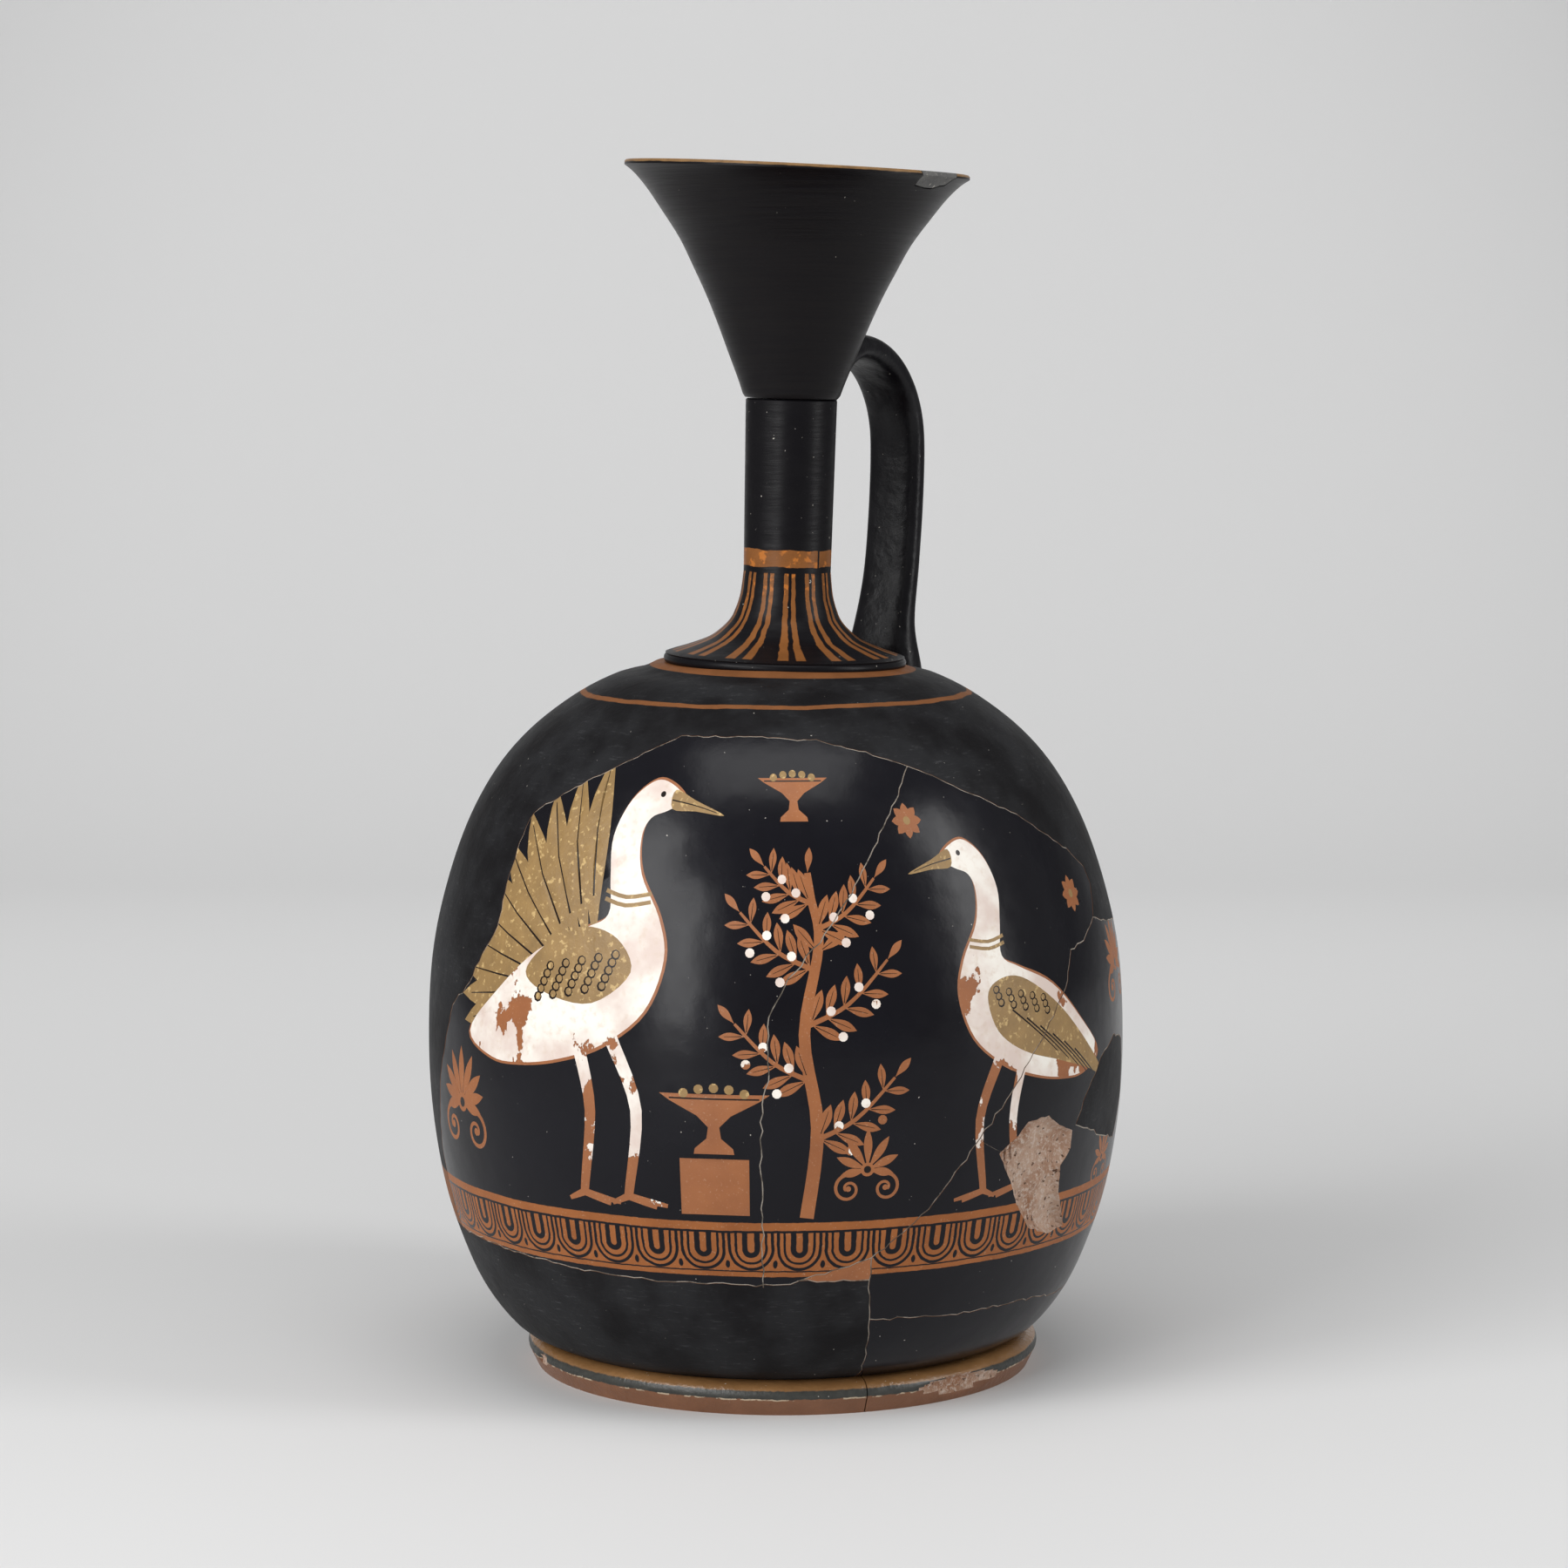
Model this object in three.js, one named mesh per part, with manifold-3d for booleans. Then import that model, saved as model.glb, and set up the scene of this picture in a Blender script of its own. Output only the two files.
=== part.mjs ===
// Squat oil jar of black-glazed clay, broken and mended: sherds and fills that meet at joints.
// Millimetres, +Z up. The origin is the centre of the body's resting plane and the front faces -Y.
// Angles are in degrees round the jar, 0 at the front and growing towards +X.
import * as THREE from 'three';
import { mergeVertices } from 'three/addons/utils/BufferGeometryUtils.js';
import Module from 'manifold-3d';

const wasm = await Module();
wasm.setup();

// Joints and roundness
const jointGap = 0.3;
const bodyFacets = 54;
const neckFacets = 32;
const bodySteps = 20;
const flareSteps = 9;
const mouthSteps = 10;
// The most degrees between two sections of a break
const breakStep = 6;
const lossFacets = 14;
const probeRadius = 0.4;
const halfTurn = 180;

// Body
const bodyRadius = 87.5;
const bodyHeight = 169;
const wallThickness = 4.5;
const floorThickness = 4.2;
const floorRise = 1.2;
const shoulderHoleRadius = 12;
// The outline up from the foot: share of the body's height, share of the swell from foot to belly
const lowerOutline = [
  [0, 0], [0.02, 0.23], [0.07, 0.48], [0.13, 0.663], [0.22, 0.849], [0.33, 0.965], [0.44, 1],
];
// The outline on from the belly: share of the body's height, share of the swell from collar to belly
const upperOutline = [
  [0.56, 0.983], [0.66, 0.925], [0.76, 0.826], [0.84, 0.698], [0.9, 0.545], [0.95, 0.351], [0.98, 0.179],
  [0.99, 0.061], [1, 0],
];

// Ring foot
const footHeight = 8.3;
const footRadius = 64.6;
const footLedge = 4.2;
const footUndercut = 2.2;
const restWidth = 8.4;
const footBoreTaper = 2;
const footEdgeHeight = 5;
const footSideHeight = 4.2;
const footShift = 1.7;
// The angles of the two breaks through the foot
const footBreaks = [18.5, -158];

// Neck and collar
const neckHeight = 65.8;
const neckRadius = 10.9;
const neckTopRadius = 11.4;
const boreRadius = 6.5;
const collarRadius = 30.4;
const collarEdge = 1.7;
const collarFlareHeight = 21;
const collarSink = 1;
const neckShift = 2.3;
const neckLean = 1.43;
// The collar's flare up from its edge: share of its height, share of its spread
const collarFlare = [
  [0, 0.99], [0.03, 0.9], [0.09, 0.7], [0.19, 0.43], [0.3, 0.27], [0.41, 0.16], [0.52, 0.1], [0.72, 0.035],
  [1, 0],
];

// Mouth
const mouthHeight = 56.8;
const mouthRadius = 42.8;
const mouthStep = 0.5;
const lipWidth = 3.6;
const lipEdge = 1.1;
const rimTilt = 1.3;
// The mouth's outline from its base to the lip: share of its height, share of its flare
const mouthOutline = [
  [0, 0], [0.08, 0.052], [0.2, 0.14], [0.32, 0.227], [0.44, 0.322], [0.56, 0.431], [0.68, 0.546],
  [0.8, 0.699], [0.89, 0.822], [0.95, 0.925], [0.98, 1],
];

// Handle, a strap in the upright plane behind and to the right
const handleAngle = 146;
const handleReach = 52.4;
const handleFootReach = 45.8;
const handleArchRadius = 26;
const handleCrestRise = 12.9;
const strapWidth = 15.5;
const strapThickness = 6.4;
const strapRootWidth = 22;
const strapRounding = 0.42;
// The strap's root at the neck: distance inside or outside the neck's skin, drop below the crest,
// slope and thickness
const strapRoot = [[-9.4, 10.9, 8, 20], [1.6, 8.4, 20, 14], [7, 2.6, 22, 8]];
// The strap's fall to the shoulder: share of the drop, of the lean inwards, of the root's widening,
// and growth in thickness
const strapFall = [
  [0.23, 0.1, 0, 0], [0.43, 0.3, 0, 0], [0.58, 0.5, 0.03, 0], [0.71, 0.82, 0.12, 0.08],
  [0.8, 1, 0.3, 0.2], [0.88, 1.05, 0.6, 0.45], [0.96, 1, 0.85, 0.7], [1.18, 1, 1, 0.9],
];

// Losses
const spall = { angle: 49.5, height: 0.29, width: 19, length: 30, depth: 2.2 };
const footChip = { angle: 43, height: 4.6, width: 27, length: 4.6, depth: 1.7 };

// The breaks in the body: angle, share of the body's height
const archedJoint = [
  [-52, 0.805], [-35, 0.878], [-23, 0.92], [11, 0.914], [29, 0.879], [53, 0.797], [66, 0.736],
  [71, 0.688], [68, 0.643], [75, 0.63], [92, 0.613],
];
const leftEdge = [
  [-52, 0.805], [-53, 0.645], [-59, 0.56], [-65, 0.519], [-71, 0.408], [-75, 0.294], [-74, 0.176],
];
const rightEdge = [[92, 0.613], [97, 0.4], [95, 0.176], [93, 0.075], [94, -0.03]];
const firstCrack = [[29, 0.879], [15, 0.744], [3, 0.609], [-1, 0.549], [-2, 0.166]];
const secondCrack = [[68, 0.643], [57, 0.609], [49, 0.514], [34, 0.364], [23, 0.25], [16, 0.202]];
const uprightJoint = [[16, 0.202], [16, 0.168], [17, 0.106], [18.5, -0.03]];
const lowJoint = [[-74, 0.176], [-56, 0.177], [-29, 0.166], [4, 0.171], [16, 0.169]];
const lowJointBehind = [[-74, 0.176], [-120, 0.18], [-180, 0.185], [-240, 0.18], [-265, 0.176]];
const lowCrack = [[17, 0.106], [38, 0.098], [66, 0.085], [93, 0.075]];
const patchEdge = [[4, 0.171], [11, 0.188], [16, 0.202]];
const sideFillEdge = [
  [57, 0.355], [60, 0.396], [66, 0.443], [73, 0.466], [80, 0.448], [82, 0.365], [77, 0.306], [67, 0.325],
  [57, 0.355],
];
// The plaster fill in the lip: angle, height above the mouth's base as a share
const rimFillEdge = [[43, 1.04], [46, 0.935], [56, 0.925], [64, 0.945], [67, 1.04]];

const glazeBlack = new THREE.MeshStandardMaterial({ color: 0x14141a, roughness: 0.35, metalness: 0 });
const fillBlack = new THREE.MeshStandardMaterial({ color: 0x23242a, roughness: 0.75, metalness: 0 });
const clay = new THREE.MeshStandardMaterial({ color: 0xa9602f, roughness: 0.7, metalness: 0 });
const plaster = new THREE.MeshStandardMaterial({ color: 0x6d6f72, roughness: 0.9, metalness: 0 });

// Worked-out places
const bodyTop = footHeight + bodyHeight;
const footJointRadius = footRadius - footLedge;
const restOuterRadius = footRadius - footUndercut;
const restInnerRadius = restOuterRadius - restWidth;
const footBoreRadius = restInnerRadius - footBoreTaper;
const mouthBaseRadius = neckTopRadius + mouthStep;
const joinHeight = bodyTop + neckHeight;
const radians = THREE.MathUtils.degToRad;
const heightAt = (share) => footHeight + share * bodyHeight;

// A direction away from the jar's axis at an angle, at right angles to +Z
function outward(angle) {
  return new THREE.Vector3(Math.sin(radians(angle)), -Math.cos(radians(angle)), 0);
}

// Solids
function solidOf(geometry) {
  const source = geometry.clone();
  source.deleteAttribute('normal');
  source.deleteAttribute('uv');
  const merged = mergeVertices(source, 1e-4);
  const index = merged.index.array;
  const triangles = [];
  for (let i = 0; i < index.length; i += 3) {
    const [a, b, c] = index.slice(i, i + 3);
    if (a !== b && b !== c && c !== a) triangles.push(a, b, c);
  }
  return new wasm.Manifold(new wasm.Mesh({
    numProp: 3,
    vertProperties: new Float32Array(merged.attributes.position.array),
    triVerts: new Uint32Array(triangles),
  }));
}

function geometryOf(solid) {
  const mesh = solid.getMesh();
  const geometry = new THREE.BufferGeometry();
  geometry.setAttribute('position', new THREE.BufferAttribute(new Float32Array(mesh.vertProperties), 3));
  geometry.setIndex(new THREE.BufferAttribute(new Uint32Array(mesh.triVerts), 1));
  geometry.computeVertexNormals();
  return geometry;
}

// Turns a closed section, given as [radius, height] corners, about the jar's axis
function turned(section, facets) {
  const points = section.map(([radius, height]) => new THREE.Vector2(radius, height));
  points.push(points[0].clone());
  return solidOf(new THREE.LatheGeometry(points, facets).rotateX(Math.PI / 2));
}

// A smooth outline through [radius, height] points, in steps of even length
function smoothOutline(points, steps) {
  const curve = new THREE.SplineCurve(points.map(([radius, height]) => new THREE.Vector2(radius, height)));
  return curve.getSpacedPoints(steps).map((point) => [point.x, point.y]);
}

// Moves an open outline sideways, to the left of its direction
function offsetOutline(outline, distance) {
  return outline.map(([radius, height], i) => {
    const before = outline[Math.max(i - 1, 0)];
    const after = outline[Math.min(i + 1, outline.length - 1)];
    const run = new THREE.Vector2(after[0] - before[0], after[1] - before[1]).normalize();
    return [radius - run.y * distance, height + run.x * distance];
  });
}

// A thin upright ribbon that reaches out from the axis and follows a line round the jar
function blade(line, innerRadius, outerRadius, heightOf) {
  const meanRadius = (innerRadius + outerRadius) / 2;
  const points = [];
  line.slice(1).forEach(([angle, share], i) => {
    const [fromAngle, fromShare] = line[i];
    const steps = Math.max(1, Math.ceil(Math.abs(angle - fromAngle) / breakStep));
    for (let step = 0; step < steps; step += 1) {
      const part = step / steps;
      points.push([
        THREE.MathUtils.lerp(fromAngle, angle, part), heightOf(THREE.MathUtils.lerp(fromShare, share, part)),
      ]);
    }
  });
  points.push([line.at(-1)[0], heightOf(line.at(-1)[1])]);
  const closed = line[0][0] === line.at(-1)[0] && line[0][1] === line.at(-1)[1];
  if (closed) points.pop();
  const count = points.length;
  const runBetween = (i, j) => new THREE.Vector2(
    radians(points[j][0] - points[i][0]) * meanRadius, points[j][1] - points[i][1],
  ).normalize();
  const vertices = [];
  points.forEach(([angle, height], i) => {
    const previous = closed ? (i + count - 1) % count : Math.max(i - 1, 0);
    const next = closed ? (i + 1) % count : Math.min(i + 1, count - 1);
    const before = previous === i ? runBetween(i, next) : runBetween(previous, i);
    const after = next === i ? before : runBetween(i, next);
    const run = before.clone().add(after).normalize();
    const mitre = Math.min(2, 1 / Math.max(run.dot(before), 0.1));
    const half = (jointGap / 2) * mitre;
    const side = new THREE.Vector3(0, 0, run.x)
      .addScaledVector(outward(angle + 90), -run.y).multiplyScalar(half);
    for (const [radius, sign] of [[innerRadius, 1], [outerRadius, 1], [outerRadius, -1], [innerRadius, -1]]) {
      const corner = outward(angle).multiplyScalar(radius).addScaledVector(side, sign);
      vertices.push(corner.x, corner.y, corner.z + height);
    }
  });
  const triangles = [];
  const sections = closed ? count : count - 1;
  for (let i = 0; i < sections; i += 1) {
    const near = i * 4;
    const far = ((i + 1) % count) * 4;
    // Both broad faces are split along the same diagonal, so that a twisted ribbon stays thin
    for (const [k, l] of [[0, 1], [1, 2], [3, 0]]) {
      triangles.push(near + k, far + l, far + k, near + k, near + l, far + l);
    }
    triangles.push(near + 2, near + 3, far + 2, near + 3, far + 3, far + 2);
  }
  if (!closed) {
    const last = (count - 1) * 4;
    triangles.push(0, 2, 1, 0, 3, 2, last, last + 1, last + 2, last, last + 2, last + 3);
  }
  const geometry = new THREE.BufferGeometry();
  geometry.setAttribute('position', new THREE.Float32BufferAttribute(vertices, 3));
  geometry.setIndex(triangles);
  return solidOf(geometry);
}

// A rounded lump that is as deep as the loss it cuts, set on a surface point and turned to face out
function lossCutter({ angle, width, length, depth }, radius, height) {
  const lumpDepth = width / 3;
  return solidOf(new THREE.SphereGeometry(1, lossFacets, lossFacets)
    .scale(width / 2, lumpDepth, length / 2)
    .rotateZ(radians(angle))
    .translate(...outward(angle).multiplyScalar(radius + lumpDepth - depth).toArray().slice(0, 2), height));
}

// The part of a cut solid that holds a probe at an angle, a radius and a height
function pieceAt(pieces, angle, radius, height) {
  const probe = solidOf(new THREE.OctahedronGeometry(probeRadius)
    .translate(...outward(angle).multiplyScalar(radius).toArray().slice(0, 2), height));
  return pieces.find((piece) => piece.intersect(probe).volume() > 0);
}

// Body wall
const bodyOutline = [
  ...lowerOutline.map(([share, swell]) => [
    THREE.MathUtils.lerp(footJointRadius, bodyRadius, swell), heightAt(share),
  ]),
  ...upperOutline.map(([share, swell]) => [
    THREE.MathUtils.lerp(collarRadius, bodyRadius, swell), heightAt(share),
  ]),
];
const outerWall = smoothOutline(bodyOutline, bodySteps);
const innerTop = bodyTop - wallThickness;
const innerBottom = footHeight + floorThickness;
const innerWall = offsetOutline(outerWall, wallThickness)
  .filter(([radius, height]) => height > innerBottom && height < innerTop && radius > shoulderHoleRadius)
  .filter((point, i) => i % 2 === 0);
const wallSection = [
  [footBoreRadius + jointGap, footHeight + jointGap],
  [footJointRadius, footHeight + jointGap],
  ...outerWall.slice(1, -1),
  [outerWall.at(-1)[0], bodyTop],
  [shoulderHoleRadius, bodyTop],
  [shoulderHoleRadius, innerTop],
  ...innerWall.reverse(),
  [footBoreRadius + jointGap, innerBottom],
];

function wallRadiusAt(height) {
  const above = outerWall.findIndex((point) => point[1] >= height);
  const [lowRadius, lowHeight] = outerWall[above - 1];
  const [highRadius, highHeight] = outerWall[above];
  return THREE.MathUtils.mapLinear(height, lowHeight, highHeight, lowRadius, highRadius);
}

function shoulderHeightAt(radius) {
  const below = outerWall.findLastIndex((point) => point[0] >= radius);
  const [farRadius, farHeight] = outerWall[below];
  const [nearRadius, nearHeight] = outerWall[below + 1];
  return THREE.MathUtils.mapLinear(radius, farRadius, nearRadius, farHeight, nearHeight);
}

const bodyBreaks = [
  archedJoint, leftEdge, rightEdge, firstCrack, secondCrack, uprightJoint, lowJoint, lowJointBehind,
  lowCrack, patchEdge, sideFillEdge,
];
// Blades start well inside the wall that they cut and end well outside it
const bladeReach = [footBoreRadius / 2, bodyRadius * 1.2];
let cutWall = turned(wallSection, bodyFacets);
for (const line of bodyBreaks) cutWall = cutWall.subtract(blade(line, ...bladeReach, heightAt));
const spallHeight = heightAt(spall.height);
cutWall = cutWall.subtract(lossCutter(spall, wallRadiusAt(spallHeight), spallHeight));
// The leaning neck's place, and the seat that its collar takes in the shoulder
const neckMatrix = new THREE.Matrix4()
  .makeRotationY(radians(neckLean)).setPosition(neckShift, 0, bodyTop);
const seatRadius = collarRadius + jointGap;
const seatCutter = turned(
  [[0, -collarSink], [seatRadius, -collarSink], [seatRadius, collarSink], [0, collarSink]], bodyFacets,
);
cutWall = cutWall.subtract(seatCutter.transform(neckMatrix.elements));
const wallPieces = cutWall.decompose();
const wallPieceAt = (angle, share) => pieceAt(
  wallPieces, angle, wallRadiusAt(heightAt(share)) - wallThickness / 2, heightAt(share),
);

// Foot, with a quarter-round edge between its undercut side and the wall
const quarterRound = [0, 30, 60, 90].map((turn) => [
  footJointRadius + footLedge * Math.cos(radians(turn)),
  footEdgeHeight + (footHeight - footEdgeHeight) * Math.sin(radians(turn)),
]);
const footSection = [
  [restInnerRadius, 0],
  [restOuterRadius, 0],
  [footRadius - jointGap / 2, footSideHeight],
  ...quarterRound,
  [footBoreRadius, footHeight],
];
const footCutters = footBreaks.map((angle) => blade(
  [[angle, -1], [angle, 2]], restInnerRadius / 2, footRadius * 1.2, (share) => share * footHeight,
));
let cutFoot = turned(footSection, bodyFacets);
for (const cutter of footCutters) cutFoot = cutFoot.subtract(cutter);
cutFoot = cutFoot.subtract(lossCutter(footChip, footRadius, footChip.height));
const footPieces = cutFoot.decompose();
const footMiddle = (restInnerRadius + restOuterRadius) / 2;
const rightMiddle = (footBreaks[0] + footBreaks[1]) / 2 + halfTurn;
const footPieceAt = (angle) => pieceAt(footPieces, angle, footMiddle, footHeight / 2);

// Floor, slightly domed over the ring
const floorSection = [
  [0, footHeight + floorRise],
  [footBoreRadius / 2, footHeight + floorRise * 0.75],
  [footBoreRadius, footHeight + jointGap],
  [footBoreRadius, innerBottom],
  [footBoreRadius / 2, innerBottom + floorRise * 0.75],
  [0, innerBottom + floorRise],
];

// Neck with its collar, measured up from the shoulder
const collarBase = jointGap - collarSink;
const flare = smoothOutline(collarFlare.map(([height, spread]) => [
  THREE.MathUtils.lerp(neckRadius, collarRadius, spread), collarEdge + height * collarFlareHeight,
]), flareSteps);
const neckTop = neckHeight - jointGap;
const neckSection = [
  [boreRadius, collarBase],
  [collarRadius - collarEdge / 2, collarBase],
  [collarRadius, collarEdge / 4],
  ...flare,
  [neckTopRadius, neckTop],
  [boreRadius, neckTop],
];

// Mouth, measured up from the neck's top
const outerMouth = smoothOutline(mouthOutline.map(([height, spread]) => [
  THREE.MathUtils.lerp(mouthBaseRadius, mouthRadius, spread), height * mouthHeight,
]), mouthSteps);
const lipInnerRadius = mouthRadius - lipWidth;
const innerMouth = offsetOutline(outerMouth, lipWidth)
  .filter(([radius]) => radius > boreRadius && radius < lipInnerRadius)
  .filter((point) => point[1] < mouthHeight - lipEdge);
const mouthSection = [
  [boreRadius, 0],
  ...outerMouth,
  [mouthRadius, mouthHeight - lipEdge / 4],
  [mouthRadius - lipEdge / 4, mouthHeight],
  [lipInnerRadius, mouthHeight],
  ...innerMouth.reverse(),
];

// Tips the mouth over, more the higher it is, so that its base stays on the neck
function tipped(solid) {
  const slope = Math.tan(radians(rimTilt));
  return solid.warp((point) => {
    point[2] -= slope * point[0] * Math.max(point[2] / mouthHeight, 0) ** 3;
  });
}

const mouthCutter = blade(rimFillEdge, boreRadius, mouthRadius * 1.2, (share) => share * mouthHeight);
const mouthPieces = turned(mouthSection, bodyFacets).subtract(mouthCutter).decompose();
const lipMiddle = mouthRadius - lipWidth / 2;
const mouthPieceAt = (angle) => tipped(pieceAt(mouthPieces, angle, lipMiddle, mouthHeight - lipEdge));

// Handle, as sections along the strap's middle line, from the neck to the shoulder
function strapSection(width, thickness) {
  const corner = strapRounding * thickness;
  const shape = new THREE.Shape();
  const x = width / 2;
  const y = thickness / 2;
  shape.moveTo(-x + corner, -y);
  shape.lineTo(x - corner, -y);
  shape.quadraticCurveTo(x, -y, x, -y + corner);
  shape.lineTo(x, y - corner);
  shape.quadraticCurveTo(x, y, x - corner, y);
  shape.lineTo(-x + corner, y);
  shape.quadraticCurveTo(-x, y, -x, y - corner);
  shape.lineTo(-x, -y + corner);
  shape.quadraticCurveTo(-x, -y, -x + corner, -y);
  return shape.getPoints(2).slice(0, -1);
}

// Each station: distance from the neck's axis, height, slope of the strap's run, width and thickness
function strapStations() {
  const crest = joinHeight + handleCrestRise;
  const archCentre = [handleReach - handleArchRadius, crest - handleArchRadius];
  const stations = strapRoot.map(([out, below, slope, thickness]) => ({
    reach: neckTopRadius + out, height: crest - below, slope, width: strapWidth, thickness,
  }));
  for (let turn = 90; turn >= 0; turn -= 15) {
    stations.push({
      reach: archCentre[0] + handleArchRadius * Math.cos(radians(turn)),
      height: archCentre[1] + handleArchRadius * Math.sin(radians(turn)),
      slope: turn - 90,
      width: strapWidth,
      thickness: strapThickness,
    });
  }
  const fall = handleReach - handleFootReach;
  const rootWidening = strapRootWidth - strapWidth;
  const drop = archCentre[1] - shoulderHeightAt(handleFootReach);
  for (const [part, inwards, widening, thickening] of strapFall) {
    stations.push({
      reach: handleReach - fall * inwards,
      height: archCentre[1] - drop * part,
      slope: -90,
      width: strapWidth + rootWidening * widening,
      thickness: strapThickness * (1 + thickening),
    });
  }
  return stations;
}

function loftedStrap(stations) {
  const away = outward(handleAngle);
  const across = outward(handleAngle + 90);
  const vertices = [];
  const rings = stations.map(({ reach, height, slope, width, thickness }) => {
    const ring = strapSection(width, thickness);
    const lift = new THREE.Vector3(0, 0, Math.cos(radians(slope)))
      .addScaledVector(away, -Math.sin(radians(slope)));
    for (const corner of ring) {
      const point = away.clone().multiplyScalar(reach)
        .addScaledVector(across, corner.x).addScaledVector(lift, corner.y);
      vertices.push(point.x, point.y, point.z + height);
    }
    return ring.length;
  });
  const count = rings[0];
  const triangles = [];
  for (let i = 0; i < stations.length - 1; i += 1) {
    for (let k = 0; k < count; k += 1) {
      const l = (k + 1) % count;
      const near = i * count;
      const far = near + count;
      triangles.push(near + k, near + l, far + l, near + k, far + l, far + k);
    }
  }
  const last = (stations.length - 1) * count;
  for (let k = 1; k < count - 1; k += 1) {
    triangles.push(0, k + 1, k, last, last + k, last + k + 1);
  }
  const geometry = new THREE.BufferGeometry();
  geometry.setAttribute('position', new THREE.Float32BufferAttribute(vertices, 3));
  geometry.setIndex(triangles);
  return solidOf(geometry);
}

// What the handle meets, one joint gap larger than the pieces themselves
const shoulderEnvelope = turned(
  [[0, footHeight], ...offsetOutline(outerWall, -jointGap), [0, bodyTop + jointGap]], bodyFacets,
);
const neckOuter = offsetOutline([...flare, [neckTopRadius, neckTop]], -jointGap);
const mouthOuter = offsetOutline(outerMouth, -jointGap)
  .map(([radius, height]) => [radius, height + neckHeight]);
const neckEnvelope = turned(
  [[0, 0], [collarRadius + jointGap, 0], ...neckOuter, ...mouthOuter, [0, neckHeight + mouthHeight]],
  bodyFacets,
).transform(neckMatrix.elements);
const handleSolid = loftedStrap(strapStations())
  .translate([neckShift, 0, 0])
  .subtract(shoulderEnvelope)
  .subtract(neckEnvelope);

// Assembly
function named(name, solid, material) {
  const mesh = new THREE.Mesh(geometryOf(solid), material);
  mesh.name = name;
  return mesh;
}

const jar = new THREE.Group();

const foot = new THREE.Group();
foot.position.x = footShift;
foot.add(named('foot_left', footPieceAt(rightMiddle + halfTurn), clay));
foot.add(named('foot_right', footPieceAt(rightMiddle), clay));
jar.add(foot);

jar.add(named('floor', turned(floorSection, bodyFacets), clay));
jar.add(named('lower_wall_fill', wallPieceAt(-60, 0.1), fillBlack));
jar.add(named('lower_wall_sherd', wallPieceAt(60, 0.04), glazeBlack));
jar.add(named('sherd_left', wallPieceAt(-30, 0.45), glazeBlack));
jar.add(named('sherd_centre', wallPieceAt(22, 0.45), glazeBlack));
jar.add(named('sherd_right', wallPieceAt(60, 0.2), glazeBlack));
jar.add(named('side_fill', wallPieceAt(71, 0.4), fillBlack));
jar.add(named('band_fill', wallPieceAt(13, 0.18), clay));
jar.add(named('shoulder_and_back_fill', wallPieceAt(0, 0.95), fillBlack));

const leaning = new THREE.Group();
leaning.position.set(neckShift, 0, bodyTop);
leaning.rotation.y = radians(neckLean);
leaning.add(named('neck', turned(neckSection, neckFacets), glazeBlack));
const mouth = new THREE.Group();
mouth.position.z = neckHeight;
mouth.add(named('mouth', mouthPieceAt(-90), glazeBlack));
mouth.add(named('rim_fill', mouthPieceAt(55), plaster));
leaning.add(mouth);
jar.add(leaning);

jar.add(named('handle', handleSolid, glazeBlack));

export default jar;
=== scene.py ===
"""Looks of the squat oil jar: the finish of its sherds, fills, neck, mouth, handle and foot.

Run as a script in Blender. Every object is in metres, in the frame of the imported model.
Sizes in the code are in millimetres. Angles are in degrees round the jar, 0 at the front and
growing towards +X.
"""

import math
from types import SimpleNamespace

import bpy
import numpy as np
from mathutils import Matrix, Vector, noise
from mathutils.geometry import delaunay_2d_cdt


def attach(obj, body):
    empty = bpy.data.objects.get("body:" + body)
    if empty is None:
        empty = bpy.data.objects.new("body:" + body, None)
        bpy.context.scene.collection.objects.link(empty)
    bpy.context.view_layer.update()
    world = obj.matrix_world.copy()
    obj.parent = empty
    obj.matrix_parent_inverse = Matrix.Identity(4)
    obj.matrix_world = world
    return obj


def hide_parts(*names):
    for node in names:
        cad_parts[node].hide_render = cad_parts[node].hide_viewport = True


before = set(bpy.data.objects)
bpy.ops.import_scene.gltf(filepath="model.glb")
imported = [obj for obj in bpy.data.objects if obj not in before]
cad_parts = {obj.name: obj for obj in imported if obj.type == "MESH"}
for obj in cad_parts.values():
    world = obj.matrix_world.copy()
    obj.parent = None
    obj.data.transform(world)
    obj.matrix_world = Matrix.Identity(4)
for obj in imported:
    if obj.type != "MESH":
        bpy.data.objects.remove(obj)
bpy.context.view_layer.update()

bl_info = {
    "name": "Squat oil jar",
    "version": (1, 0, 0),
    "blender": (4, 5, 0),
    "location": "View3D > Sidebar > Oil Jar",
    "description": "Models and paints a broken and mended black-glazed oil jar",
    "category": "Add Mesh",
}

MM = 0.001
ROOT = "root"
SMOOTH_UNDER = math.radians(35)

FOOT_TOP = 8.3
FOOT_JOINT_RADIUS = 60.4
FOOT_SHIFT = 1.7
FOOT_BREAKS = (18.5, -158)
FOOT_SIDE_HEIGHT = 4.2
FLOOR_THICKNESS = 4
BODY_TOP = 177.3
COLLAR_RADIUS = 30.4
COLLAR_SHIFT = 1.75
NECK_RADIUS = 10.9
NECK_HEIGHT = 65.8
NECK_SHIFT = 2.3
NECK_LEAN = math.radians(1.43)
NECK_PLACE = (
    Matrix.Translation((NECK_SHIFT * MM, 0, BODY_TOP * MM)) @ Matrix.Rotation(NECK_LEAN, 4, "Y")
)
MOUTH_BASE_RADIUS = 11.9
LIP_TILT = math.radians(1.3)
HANDLE_ANGLE = math.radians(146)

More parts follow.
